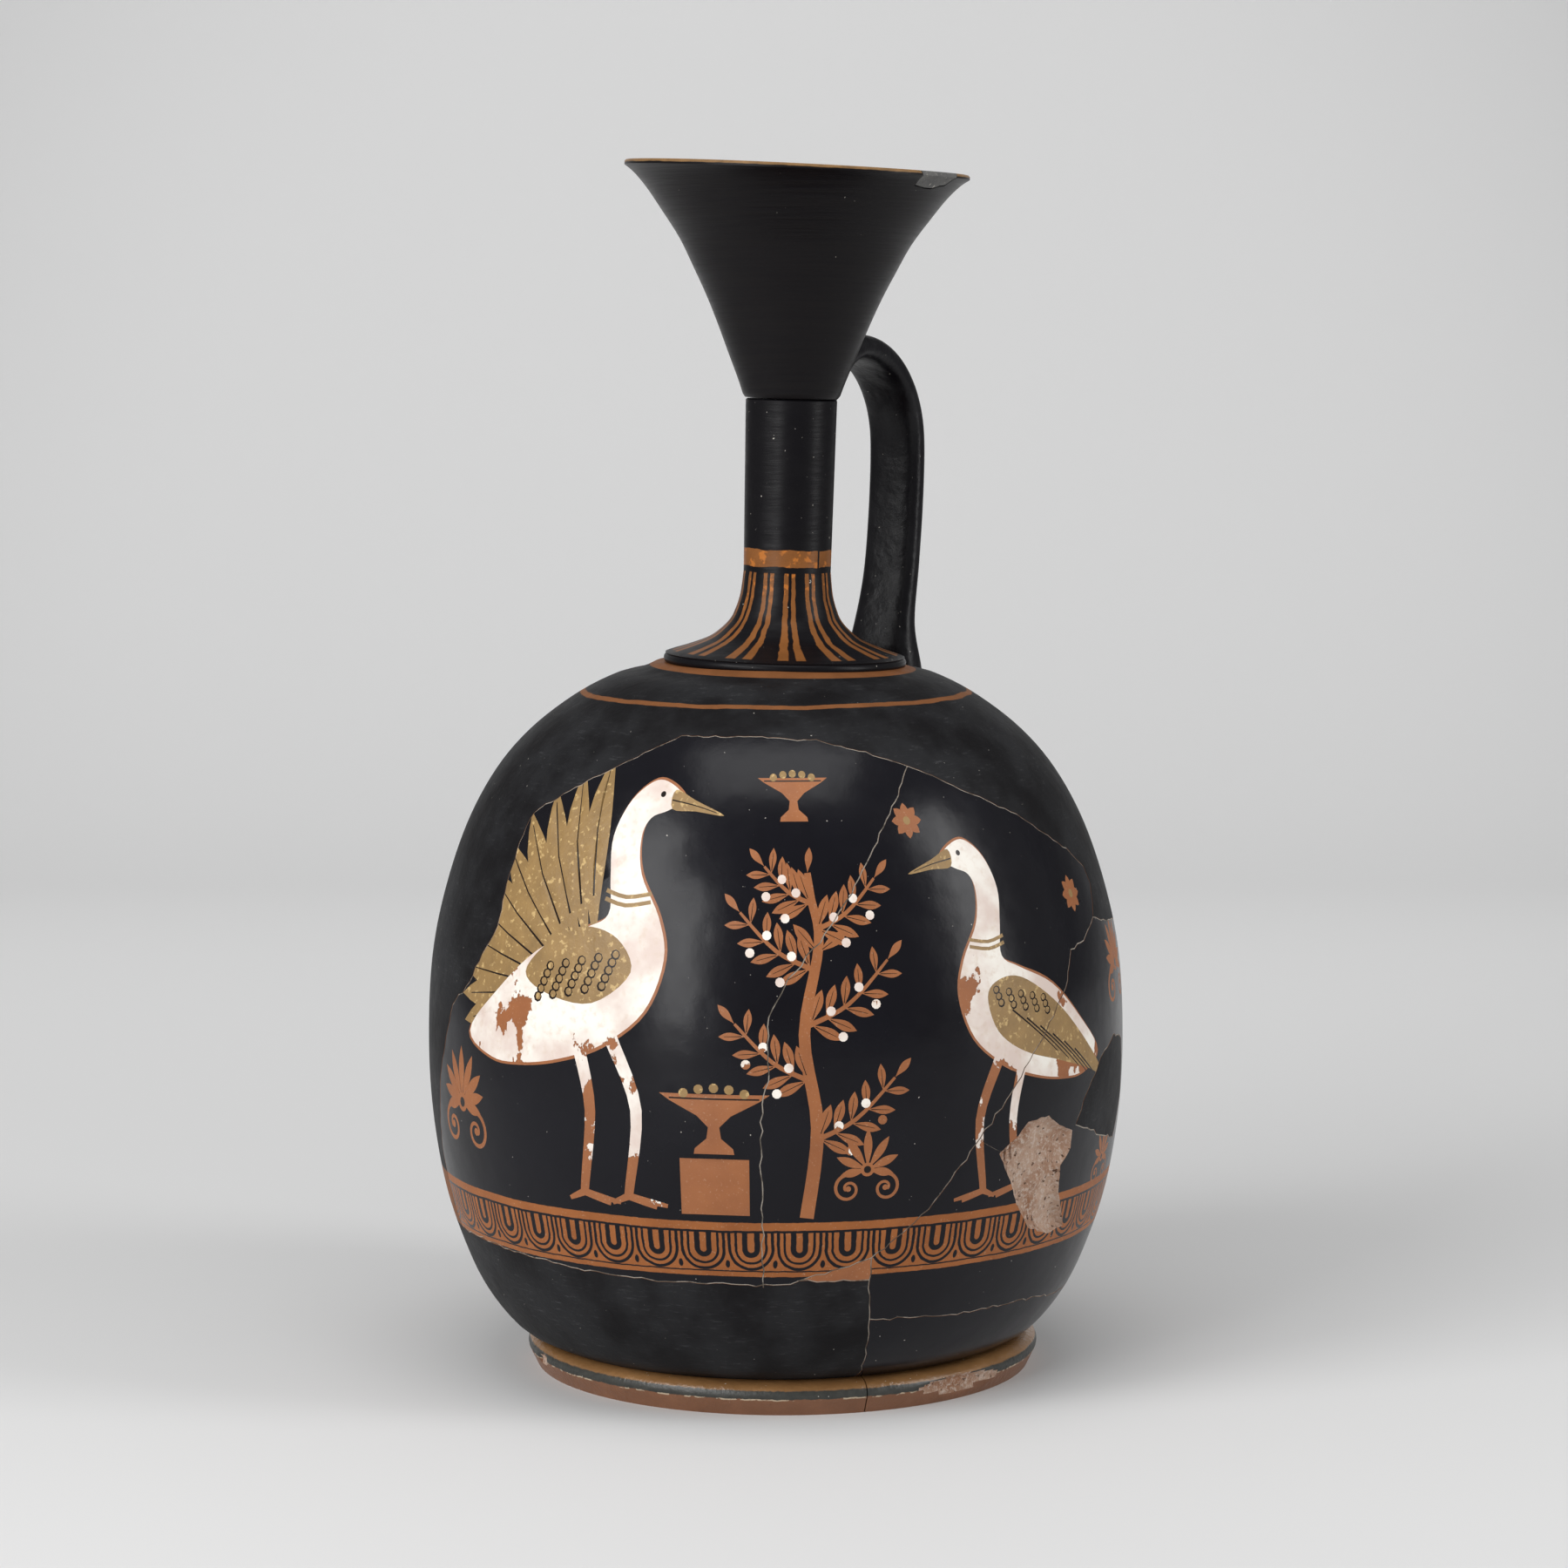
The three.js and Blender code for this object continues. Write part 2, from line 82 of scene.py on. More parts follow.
# The body's outline: share of its height, share of the swell to the belly
LOWER_OUTLINE = (
    (0, 0), (0.02, 0.23), (0.07, 0.48), (0.13, 0.663), (0.22, 0.849), (0.33, 0.965), (0.44, 1),
)
UPPER_OUTLINE = (
    (0.56, 0.983), (0.66, 0.925), (0.76, 0.826), (0.84, 0.698), (0.9, 0.545), (0.95, 0.351),
    (0.98, 0.179), (0.99, 0.061), (1, 0),
)

# Painted bands, as lowest and highest height
PLAIN_BAND = (38.0, 51.8)
EGG_ZONE = (39.75, 49.3)
LINE_UNDER_EGGS = (38.2, 39.4)
LINE_OVER_EGGS = (49.9, 51.9)
EGG_CENTRE = 45.1
DOT_CENTRE = 41.4
EGG_COUNT = 46
EGG_BAND_RADIUS = 82.6
SHOULDER_LINE = (169.7, 170.5)
# On the neck the heights count from the shoulder
NECK_BAND = (24.1, 28.3)
TONGUE_TOP = 22.6
TONGUE_REACH = 28.2
TONGUE_COUNT = 13
GROUND_LINE = 54.6

# Finishes of the picture, in the order of their material slots after the wall's own
PAINTS = ("clay", "white", "ochre", "relief")

# The breaks, as angle and height
BREAKS = {
    "arched_joint": (
        (-52, 144.4), (-46, 149.4), (-35, 156.7), (-29, 160.4), (-23, 163.8), (-6, 164), (1, 163.7),
        (11, 162.8), (19, 160.6), (29, 156.9), (34, 154.5), (38, 152), (45, 148), (53, 143),
        (58, 138.9),
        (66, 132.7), (70, 129), (71, 124.6), (68, 117), (75, 114.8), (84, 113.4), (92, 111.9),
    ),
    "left_edge": (
        (-52, 144.4), (-53, 137.3), (-53, 117.4), (-59, 103), (-65, 96), (-71, 77.3), (-75, 58),
        (-74, 38),
    ),
    "right_edge": ((92, 111.9), (97, 75.9), (95, 38), (93, 21), (94, 1)),
    "first_crack": (
        (29, 156.9), (21, 145.4), (15, 134.1), (12, 127.7), (8, 120.2), (3, 111.3), (1, 106.7),
        (-1, 101.1), (-1, 86.2), (-2, 80.6), (-2.4, 66), (-2, 53.4), (-2, 35.4),
    ),
    "second_crack": (
        (68, 117), (62, 112.4), (57, 111.2), (54, 102.5), (49, 95.2), (44, 86.7), (40, 79.7),
        (34, 69.8), (28, 58.8), (23, 50.6), (19, 46), (16, 42.4),
    ),
    "upright_joint": ((16, 42.4), (16, 36.7), (16.6, 30), (17, 26.2), (18, 14.4), (18.5, 1)),
    "low_joint": (
        (-74, 38), (-56, 38.2), (-40, 37.2), (-29, 36.4), (-13, 36.1), (1, 36.2), (4, 37.2),
        (16, 36.7),
    ),
    "low_joint_behind_left": ((-74, 38), (-120, 38.7), (-180, 39.6), (-181, 39.6)),
    "low_joint_behind_right": ((181, 39.6), (180, 39.6), (120, 38.7), (95, 38)),
    "low_crack": ((17, 26.2), (25, 25.6), (38, 24.8), (51, 25.1), (66, 22.7), (93, 21)),
    "patch_edge": ((4, 37.2), (11, 40.1), (16, 42.4)),
    "side_fill_edge": (
        (57, 68.3), (60, 75.2), (66, 83.2), (73, 87.1), (80, 84), (82, 70), (77, 60), (67, 63.2),
        (57, 68.3),
    ),
    "spall_crack": ((34, 69.8), (36, 67.4), (38.4, 65.6)),
}
# Where each node of the wall lies, as angle and height
WALL_PROBES = {
    "lower_wall_fill": (-60, 25), "lower_wall_sherd": (60, 15), "sherd_left": (-30, 84),
    "sherd_centre": (22, 84), "sherd_right": (60, 42), "side_fill": (71, 76),
    "band_fill": (13, 38.7), "shoulder_and_back_fill": (0, 169),
}
SPALL_EDGE = (
    (38, 65.3), (42, 69), (44, 71.9), (49, 72.4), (52, 69.4), (56, 67.2), (56, 62.8), (53.4, 59),
    (54, 52.3), (58, 42.7), (53, 41.9), (47, 44.9), (43, 51.7), (41, 57.9),
)
SPALL_PITCH = 0.8
SPALL_RIM = 0.9

CAMERA_PLACE = (0.00207, -1.1169, 0.27)
CAMERA_DIP = math.radians(6.32)
CAMERA_LENS = 102.6
# Name, place, width and height of the lit face, and power
SOFTBOXES = (
    ("left_softbox", (-0.95, -0.75, 0.75), (0.55, 0.9), 10),
    ("right_softbox", (1.0, -0.35, 0.55), (0.3, 0.9), 5.5),
    ("top_softbox", (0.0, -0.3, 1.35), (0.9, 0.7), 5.5),
    ("front_softbox", (-0.8, -1.3, 0.5), (0.35, 0.9), 7),
)
LAMP_AIM = Vector((0, 0, 0.14))


class Wire:
    """A value in a node tree, which the plain arithmetic signs join up."""

    def __init__(self, pen, socket):
        self.pen = pen
        self.socket = socket

    def __add__(self, other):
        return self.pen.math("ADD", self, other)

    def __sub__(self, other):
        return self.pen.math("SUBTRACT", self, other)

    def __rsub__(self, other):
        return self.pen.math("SUBTRACT", other, self)

    def __mul__(self, other):
        return self.pen.math("MULTIPLY", self, other)


class Pen:
    """Draws one material's nodes."""

    def __init__(self, name, roughness=0.5):
        self.material = bpy.data.materials.new(name)
        self.material.use_nodes = True
        self.tree = self.material.node_tree
        self.shader = self.tree.nodes["Principled BSDF"]
        self.set("Roughness", roughness)
        place = self.tree.nodes.new("ShaderNodeTexCoord").outputs["Object"]
        self.place = Wire(self, place)
        split = self.tree.nodes.new("ShaderNodeSeparateXYZ")
        self.tree.links.new(place, split.inputs[0])
        self.x, self.y, self.height = (Wire(self, out) * (1 / MM) for out in split.outputs)

    def plug(self, value, socket):
        """Links a wire to a socket, or sets a plain value on it."""
        if isinstance(value, Wire):
            self.tree.links.new(value.socket, socket)
        else:
            socket.default_value = value

    def set(self, name, value):
        self.plug(value, self.shader.inputs[name])

    def math(self, operation, *values):
        """One arithmetic node."""
        node = self.tree.nodes.new("ShaderNodeMath")
        node.operation = operation
        for value, socket in zip(values, node.inputs):
            self.plug(value, socket)
        return Wire(self, node.outputs[0])

    def most(self, a, b):
        return self.math("MAXIMUM", a, b)

    def step(self, value, edge, soft=0.08):
        """0 below the edge, 1 above it, with a soft rim."""
        node = self.tree.nodes.new("ShaderNodeMapRange")
        node.interpolation_type = "SMOOTHSTEP"
        self.plug(value, node.inputs["Value"])
        self.plug(edge - soft, node.inputs["From Min"])
        self.plug(edge + soft, node.inputs["From Max"])
        return Wire(self, node.outputs[0])

    def between(self, value, low, high, soft=0.08):
        """1 from low to high, 0 outside."""
        return self.step(value, low, soft) * (1 - self.step(value, high, soft))

    def noise(self, size, detail=4, stretch=(1, 1, 1), roughness=0.55):
        """Noise whose features are about size millimetres, stretched along the axes."""
        mapping = self.tree.nodes.new("ShaderNodeMapping")
        mapping.inputs["Scale"].default_value = tuple(1 / part for part in stretch)
        self.plug(self.place, mapping.inputs["Vector"])
        node = self.tree.nodes.new("ShaderNodeTexNoise")
        node.inputs["Scale"].default_value = 1 / (size * MM)
        node.inputs["Detail"].default_value = detail
        node.inputs["Roughness"].default_value = roughness
        self.tree.links.new(mapping.outputs[0], node.inputs["Vector"])
        return Wire(self, node.outputs["Fac"])

    def mix(self, factor, low, high):
        node = self.tree.nodes.new("ShaderNodeMix")
        node.data_type = "RGBA"
        self.plug(factor, node.inputs[0])
        self.plug(low, node.inputs[6])
        self.plug(high, node.inputs[7])
        return Wire(self, node.outputs[2])

    def angle(self, across=None):
        """The angle round the jar in degrees, 0 at the front, or round an axis that lies aside."""
        return self.math("ARCTAN2", across or self.x, self.y * -1) * (180 / math.pi)

    def distance(self, across, along):
        return self.math("SQRT", across * across + along * along)

    def bump(self, height, distance):
        """Gives the surface a relief of so many millimetres."""
        node = self.tree.nodes.new("ShaderNodeBump")
        node.inputs["Distance"].default_value = distance * MM
        self.plug(height, node.inputs["Height"])
        self.tree.links.new(node.outputs[0], self.shader.inputs["Normal"])


def colour(settings, name):
    return (*getattr(settings, name), 1)


def clay_tone(pen, colours):
    """Clay with cloudy light and dark parts and fine grain."""
    cloud = pen.noise(9, 5)
    grain = pen.noise(0.5, 2)
    tone = pen.mix(cloud, colour(colours, "clay_dark"), colour(colours, "clay_light"))
    return pen.mix(pen.step(grain, 0.68, 0.06) * 0.35, tone, (0.55, 0.36, 0.24, 1))


def speckled(pen, tone, share=0.72):
    """A tone with small white specks of grit in it."""
    specks = pen.step(pen.noise(0.9, 1), share + 0.09, 0.02)
    return pen.mix(specks * 0.6, tone, (0.62, 0.58, 0.52, 1))


def egg_band(pen, drift):
    """1 where the band of eggs under the picture is left in clay, 0 where it is black."""
    height = pen.height + drift
    pitch = 2 * math.pi * EGG_BAND_RADIUS / EGG_COUNT
    turns = pen.angle() * (EGG_COUNT / 360) + drift * 0.12
    across = (pen.math("FRACT", turns + 100) - 0.5) * pitch
    reach = pen.distance(across, pen.most(EGG_CENTRE - height, 0))
    outline = pen.between(reach, 4.6, 5.35)
    middle = pen.between(reach, 3.2, 3.8)
    heart = pen.between(reach, 0.75, 2.05)
    dot_across = (pen.math("FRACT", turns + 100.5) - 0.5) * pitch
    dot = 1 - pen.step(pen.distance(dot_across, (height - DOT_CENTRE) * 0.55), 0.55)
    drawn = pen.most(pen.most(outline, middle), pen.most(heart, dot))
    eggs = pen.between(height, *EGG_ZONE) * (1 - drawn)
    lines = pen.most(pen.between(height, *LINE_OVER_EGGS), pen.between(height, *LINE_UNDER_EGGS))
    return pen.most(eggs, lines)


def make_glaze(colours):
    """Glossy blue-black glaze with the reserved band of eggs."""
    pen = Pen("black_glaze")
    drift = (pen.noise(14, 2) - 0.5) * 0.5 + (pen.noise(2, 2) - 0.5) * 0.3
    reserved = egg_band(pen, drift)
    cloud = pen.noise(22, 4)
    black = pen.mix(cloud, colour(colours, "glaze_black"), colour(colours, "glaze_blue"))
    pen.set("Base Color", pen.mix(reserved, speckled(pen, black), clay_tone(pen, colours)))
    pen.set("Roughness", pen.noise(6, 6) * 0.14 + 0.16 + reserved * 0.2)
    pen.set("Specular IOR Level", 0.2)
    pen.bump(pen.noise(18, 2) + pen.noise(1.2, 3) * 0.05, 0.35)
    return pen.material


def make_fill_paint(colours):
    """Matt black paint of the restored parts, with brush scratches, and its plain painted bands."""
    pen = Pen("fill_paint")
    drift = (pen.noise(10, 3) - 0.5) * 0.8
    band = pen.between(pen.height + drift * 0.4, *PLAIN_BAND)
    shoulder_line = pen.between(pen.height + drift, *SHOULDER_LINE)
    spread = pen.distance(pen.x - COLLAR_SHIFT, pen.y)
    collar_line = pen.between(spread + drift * 0.5, COLLAR_RADIUS - 1.4, COLLAR_RADIUS + 3)
    collar_line = collar_line * pen.step(pen.height, 170)
    bands = pen.most(pen.most(band, shoulder_line), collar_line)
    scratches = pen.step(pen.noise(0.5, 6, (9, 9, 1.2), 0.75), 0.62, 0.07)
    worn = pen.step(pen.noise(16, 4), 0.5, 0.16)
    black = pen.mix(worn, colour(colours, "fill_black"), colour(colours, "fill_grey"))
    black = pen.mix(scratches * worn * 0.5, black, (0.07, 0.07, 0.074, 1))
    brown = pen.mix(pen.noise(7, 4), (0.12, 0.046, 0.016, 1), (0.26, 0.1, 0.036, 1))
    pen.set("Base Color", pen.mix(bands, speckled(pen, black), brown))
    pen.set("Roughness", pen.noise(4, 5) * 0.2 + 0.42)
    pen.set("Specular IOR Level", 0.1)
    pen.bump(pen.noise(12, 3) + pen.noise(0.7, 5) * 0.1, 0.4)
    return pen.material


def make_clay(colours):
    pen = Pen("reserved_clay")
    pen.set("Base Color", clay_tone(pen, colours))
    pen.set("Roughness", pen.noise(3, 4) * 0.2 + 0.4)
    pen.bump(pen.noise(1.5, 4), 0.06)
    return pen.material


def make_white(colours):
    """Added white that has flaked off in places, with pink and buff stains."""
    pen = Pen("added_white")
    stain = pen.step(pen.noise(15, 4), 0.5, 0.14)
    white = pen.mix(stain, colour(colours, "white"), colour(colours, "stained_white"))
    white = pen.mix(pen.step(pen.noise(2, 5), 0.6, 0.1) * 0.4, white, (0.6, 0.47, 0.36, 1))
    wear = pen.noise(11, 5, (1, 1, 1.3), 0.6) + (100 - pen.height) * 0.0046
    gone = pen.step(wear, 0.6, 0.006)
    pen.set("Base Color", pen.mix(gone, white, clay_tone(pen, colours)))
    pen.set("Roughness", 0.55)
    pen.bump((1 - gone) + pen.noise(1.2, 4) * 0.3, 0.12)
    return pen.material


def make_ochre(colours):
    pen = Pen("added_ochre")
    tone = pen.mix(pen.noise(5, 5), colour(colours, "ochre"), (0.17, 0.1, 0.035, 1))
    thin = pen.step(pen.noise(1.5, 3), 0.62, 0.05)
    pen.set("Base Color", pen.mix(thin, tone, (0.5, 0.34, 0.14, 1)))
    pen.set("Roughness", 0.5)
    pen.bump(pen.noise(1, 4), 0.15)
    return pen.material


def make_relief(colours):
    pen = Pen("relief_line")
    tone = pen.mix(pen.noise(6), colour(colours, "glaze_black"), (0.02, 0.012, 0.008, 1))
    pen.set("Base Color", tone)
    pen.set("Roughness", pen.noise(2) * 0.1 + 0.22)
    pen.set("Specular IOR Level", 0.2)
    return pen.material


def make_broken_clay():
    """Bare broken clay: buff and rough, with pale crumbs and dark spots of painted shade standing
    for small pits.
    """
    pen = Pen("broken_clay", 0.9)
    crumbs = pen.noise(1.1, 8, (1, 1, 1), 0.75)
    cloud = pen.noise(9, 3)
    tone = pen.mix(pen.step(cloud, 0.5, 0.16), (0.33, 0.16, 0.085, 1), (0.5, 0.34, 0.25, 1))
    tone = pen.mix(pen.step(crumbs, 0.55, 0.09), tone, (0.62, 0.5, 0.42, 1))
    # Painted shade: dark spots stand for the shade in small pits, which have no relief of their own
    painted_pit_shade = pen.step(pen.noise(1.4, 4), 0.64, 0.04)
    pen.set("Base Color", pen.mix(painted_pit_shade, tone, (0.09, 0.04, 0.02, 1)))
    pen.bump(crumbs + pen.noise(3, 3), 0.7)
    return pen.material


def make_glue():
    """Pale glue and plaster dust in the joints, broken up by dark parts."""
    pen = Pen("joint_glue", 0.8)
    dark = pen.step(pen.noise(5, 5), 0.53, 0.05)
    pale = pen.mix(pen.noise(2, 2), (0.3, 0.26, 0.2, 1), (0.42, 0.4, 0.36, 1))
    pen.set("Base Color", pen.mix(dark * 0.8, pale, (0.06, 0.05, 0.035, 1)))
    return pen.material


def make_plaster():
    pen = Pen("rim_plaster", 0.85)
    grey = pen.mix(pen.noise(4, 5), (0.05, 0.052, 0.055, 1), (0.17, 0.165, 0.155, 1))
    grit = pen.step(pen.noise(1, 4), 0.66, 0.04)
    pen.set("Base Color", pen.mix(grit, grey, (0.45, 0.42, 0.38, 1)))
    pen.bump(pen.noise(1.2, 6), 0.35)
    return pen.material


def leaned(pen):
    """Height over the shoulder, distance from the neck's leaning axis and angle round it."""
    over = pen.height - BODY_TOP
    across = pen.x - NECK_SHIFT - over * math.sin(NECK_LEAN)
    return over + across * math.sin(NECK_LEAN), pen.distance(across, pen.y), pen.angle(across)


def make_neck_paint(colours):
    """Black glaze with the reserved band and the tongues of the collar."""
    pen = Pen("neck_paint")
    over, spread, angle = leaned(pen)
    wave = (pen.noise(5, 3) - 0.5) * 1.1
    band = pen.between(over + wave, *NECK_BAND) * (1 - pen.between(angle, 43, 46, 0.3))
    brush = (pen.noise(3.2, 4) - 0.5) * 0.3
    brush = brush * pen.step(over, 4, 2) * 0.5
    turn = pen.math("FRACT", angle * (TONGUE_COUNT / 360) + 100.3 + brush)
    thin = pen.between(turn, 0.36, 0.5, 0.012)
    tongue = pen.between(turn, 0.16, 0.68, 0.012) * (1 - thin)
    zone = 1 - pen.step(over + wave * 0.5, TONGUE_TOP)
    zone = zone * (1 - pen.step(spread + wave * 0.6, TONGUE_REACH, 0.2))
    reserved = pen.most(band, tongue * zone)
    bright = pen.step(over, 15, 6) * pen.step(pen.noise(2.5, 3), 0.58, 0.05)
    orange = pen.mix(pen.noise(6, 4), (0.13, 0.05, 0.014, 1), (0.28, 0.105, 0.03, 1))
    orange = pen.mix(bright * 0.7, orange, (0.52, 0.17, 0.03, 1))
    black = pen.mix(pen.noise(12, 3), colour(colours, "glaze_black"), colour(colours, "fill_black"))
    pen.set("Base Color", pen.mix(reserved, speckled(pen, black, 0.7), orange))
    pen.set("Roughness", pen.noise(3, 5, (6, 6, 1)) * 0.22 + 0.26)
    pen.set("Specular IOR Level", 0.13)
    pen.bump(pen.noise(2.2, 4, (9, 9, 1)) + pen.noise(9, 2), 0.16)
    return pen.material


def make_mouth_paint(colours):
    """Black glaze with the wheel's fine level streaks, and the worn reserved lip."""
    pen = Pen("mouth_paint")
    over, spread, angle = leaned(pen)
    tilt = over + spread * pen.math("SINE", angle * (math.pi / 180)) * math.tan(LIP_TILT)
    worn = (pen.noise(4, 5) - 0.5) * 0.9
    lip = pen.step(tilt + worn * 0.5, NECK_HEIGHT + 56.1, 0.1) * pen.step(spread, 38.6, 0.3)
    streak = pen.noise(0.9, 5, (30, 30, 1), 0.65)
    black = pen.mix(streak, colour(colours, "glaze_black"), (0.0085, 0.0072, 0.007, 1))
    tan = pen.mix(pen.noise(3, 5), (0.1, 0.055, 0.025, 1), (0.33, 0.19, 0.08, 1))
    pen.set("Base Color", pen.mix(lip, speckled(pen, black, 0.74), tan))
    pen.set("Roughness", streak * 0.2 + 0.24)
    pen.set("Specular IOR Level", 0.13)
    pen.bump(streak, 0.1)
    return pen.material


def make_handle_paint(colours):
    pen = Pen("handle_paint")
    worn = pen.step(pen.noise(7, 5, (1, 1, 3)), 0.56, 0.1)
    black = pen.mix(worn * 0.35, colour(colours, "glaze_black"), colour(colours, "fill_grey"))
    pen.set("Base Color", speckled(pen, black, 0.7))
    pen.set("Roughness", pen.noise(3, 5) * 0.25 + 0.25)
    pen.set("Specular IOR Level", 0.2)
    pen.bump(pen.noise(4, 4) + pen.noise(16, 2), 0.3)
    return pen.material


def make_foot_paint(colours):
    """The foot's shiny tan roll, dark edge and tan side, with chips down to the clay."""
    pen = Pen("foot_paint")
    wave = (pen.noise(6, 4) - 0.5) * 0.9
    fine = (pen.noise(1.6, 3) - 0.5) * 0.6
    level = pen.height + wave * 0.5 + fine
    gold = pen.mix(pen.noise(3, 4, (5, 5, 1)), (0.11, 0.048, 0.016, 1), (0.36, 0.19, 0.075, 1))
    tan = pen.mix(pen.noise(7, 5), (0.14, 0.058, 0.026, 1), (0.24, 0.105, 0.052, 1))
    dark = pen.mix(pen.noise(2, 4), (0.012, 0.013, 0.012, 1), (0.05, 0.05, 0.042, 1))
    tone = pen.mix(pen.step(level, 4.3, 0.12), tan, dark)
    tone = pen.mix(pen.step(level, 6.35, 0.18), tone, gold)
    groove = pen.between(level, 4.0, 4.35, 0.1) * pen.step(pen.noise(2.5, 3), 0.52, 0.03)
    tone = pen.mix(groove * 0.8, tone, (0.55, 0.45, 0.32, 1))
    pen.set("Base Color", speckled(pen, tone, 0.7))
    pen.set("Roughness", 0.42 - pen.step(level, 6.2, 0.3) * 0.16)
    pen.bump(pen.noise(2, 5), 0.25)
    return pen.material


def make_raw_clay(colours):
    """Unglazed clay of the inside and of the floor."""
    pen = Pen("raw_clay", 0.85)
    tone = pen.mix(pen.noise(12, 5), (0.16, 0.07, 0.03, 1), colour(colours, "clay_dark"))
    pen.set("Base Color", tone)
    pen.bump(pen.noise(1.5, 5, (20, 20, 1)), 0.2)
    return pen.material


MATERIALS = {}


def material(name):
    """Each material is made once, when the first piece asks for it."""
    if name not in MATERIALS:
        colours = bpy.context.scene.oil_jar_colours
        makers = {
            "glaze": make_glaze, "fill": make_fill_paint, "clay": make_clay, "white": make_white,
            "ochre": make_ochre, "relief": make_relief, "neck": make_neck_paint,
            "mouth": make_mouth_paint, "handle": make_handle_paint, "foot": make_foot_paint,
            "raw": make_raw_clay,
        }
        plain = {"broken": make_broken_clay, "glue": make_glue, "plaster": make_plaster}
        MATERIALS[name] = makers[name](colours) if name in makers else plain[name]()
    return MATERIALS[name]


def smooth_line(points, steps=6, closed=False):
    """A rounded line through the points."""
    points = [Vector(point) for point in points]
    count = len(points)
    line = []
    for i in range(count if closed else count - 1):
        places = range(i - 1, i + 3)
        a, b, c, d = (
            points[place % count if closed else min(max(place, 0), count - 1)] for place in places
        )
        for step in range(steps):
            t = step / steps
            line.append(
                0.5 * (2 * b + (c - a) * t + (2 * a - 5 * b + 4 * c - d) * t * t
                       + (3 * b - a - 3 * c + d) * t ** 3)
            )
    if not closed:
        line.append(points[-1])
    return line


class Wall:
    """The body's outer surface and its plan, unrolled: millimetres round the belly and up."""

    def __init__(self, sizes):
        self.round = math.radians(sizes.body_radius)
        self.seam = self.round * 180
        points = [
            (end + (sizes.body_radius - end) * swell, FOOT_TOP + share * (BODY_TOP - FOOT_TOP))
            for end, outline in ((FOOT_JOINT_RADIUS, LOWER_OUTLINE), (COLLAR_RADIUS, UPPER_OUTLINE))
            for share, swell in outline
        ]
        line = smooth_line(points, 12)
        line.append(Vector((sizes.shoulder_hole_radius, BODY_TOP)))
        self.radii = np.array([point.x for point in line])
        self.heights = np.array([point.y for point in line])
        lengths = np.hypot(np.diff(self.radii), np.diff(self.heights))
        self.run = np.concatenate(([0], np.cumsum(lengths)))
        self.top = self.run[-1]
        slope_r = np.gradient(self.radii, self.run)
        slope_z = np.gradient(self.heights, self.run)
        self.out_r, self.out_z = slope_z, -slope_r

    def plan(self, angle, height):
        """The plan's point for an angle and a height."""
        up = float(np.interp(height, self.heights[:-1], self.run[:-1]))
        return Vector((angle * self.round, up))

    def plan_line(self, points):
        return [self.plan(*point) for point in points]

    def surface(self, across, up, lift):
        """The place in the jar's frame, in metres, of a plan point raised off the surface."""
        angle = math.radians(across / self.round)
        radius = np.interp(up, self.run, self.radii) + lift * np.interp(up, self.run, self.out_r)
        height = np.interp(up, self.run, self.heights) + lift * np.interp(up, self.run, self.out_z)
        return (radius * math.sin(angle) * MM, -radius * math.cos(angle) * MM, height * MM)


def wandering(line, spread, pitch, seed):
    """A break's line with small uneven steps, its corners kept."""
    rough = []
    for start, end in zip(line, line[1:]):
        pieces = max(1, round((end - start).length / pitch))
        side = Vector((start.y - end.y, end.x - start.x)).normalized()
        for i in range(pieces):
            point = start.lerp(end, i / pieces)
            if i:
                point += side * spread * noise.noise((point.x * 0.7, point.y * 0.7, seed))
            rough.append(point)
    rough.append(line[-1])
    return rough


def sides_of(line, half, closed=False):
    """Two lines beside a line, half a gap away on each side."""
    left, right = [], []
    count = len(line)
    for i, point in enumerate(line):
        before = line[i - 1] if i else (line[-2] if closed else line[0])
        after = line[i + 1] if i + 1 < count else (line[1] if closed else line[-1])
        run = (after - before).normalized()
        side = Vector((-run.y, run.x)) * half
        left.append(point + side)
        right.append(point - side)
    return left, right


def ribbon(points, width, taper=0.0, steps=5):
    """The outline of a painted stroke along a rounded line."""
    line = smooth_line(points, steps)
    last = len(line) - 1
    left, right = [], []
    for i, point in enumerate(line):
        run = (line[min(i + 1, last)] - line[max(i - 1, 0)]).normalized()
        half = width / 2 * (1 - taper * i / last)
        side = Vector((-run.y, run.x)) * half
        left.append(point + side)
        right.append(point - side)
    return left + right[::-1]


def petal(root, turn, length, width, steps=9):
    """A leaf or petal: pointed at the root, full near the tip."""
    along = Vector((math.sin(turn), math.cos(turn)))
    side = Vector((along.y, -along.x))
    near = []
    for i in range(1, steps):
        t = i / steps
        half = width / 2 * math.sin(math.pi * t ** 1.35)
        near.append((t, half))
    left = [root + along * t * length + side * half for t, half in near]
    right = [root + along * t * length - side * half for t, half in reversed(near)]
    return [root.copy(), *left, root + along * length, *right]


def disc(centre, radius, corners=14):
    turns = (2 * math.pi * i / corners for i in range(corners))
    return [centre + Vector((math.cos(t), math.sin(t))) * radius for t in turns]


def spiral(centre, start, turns, radius, hand):
    """A volute's line, wound in towards its centre."""
    points = []
    count = int(14 * turns)
    for i in range(count + 1):
        t = i / count
        angle = start + hand * 2 * math.pi * turns * t
        points.append(centre + Vector((math.cos(angle), math.sin(angle))) * radius * (1 - 0.82 * t))
    return points


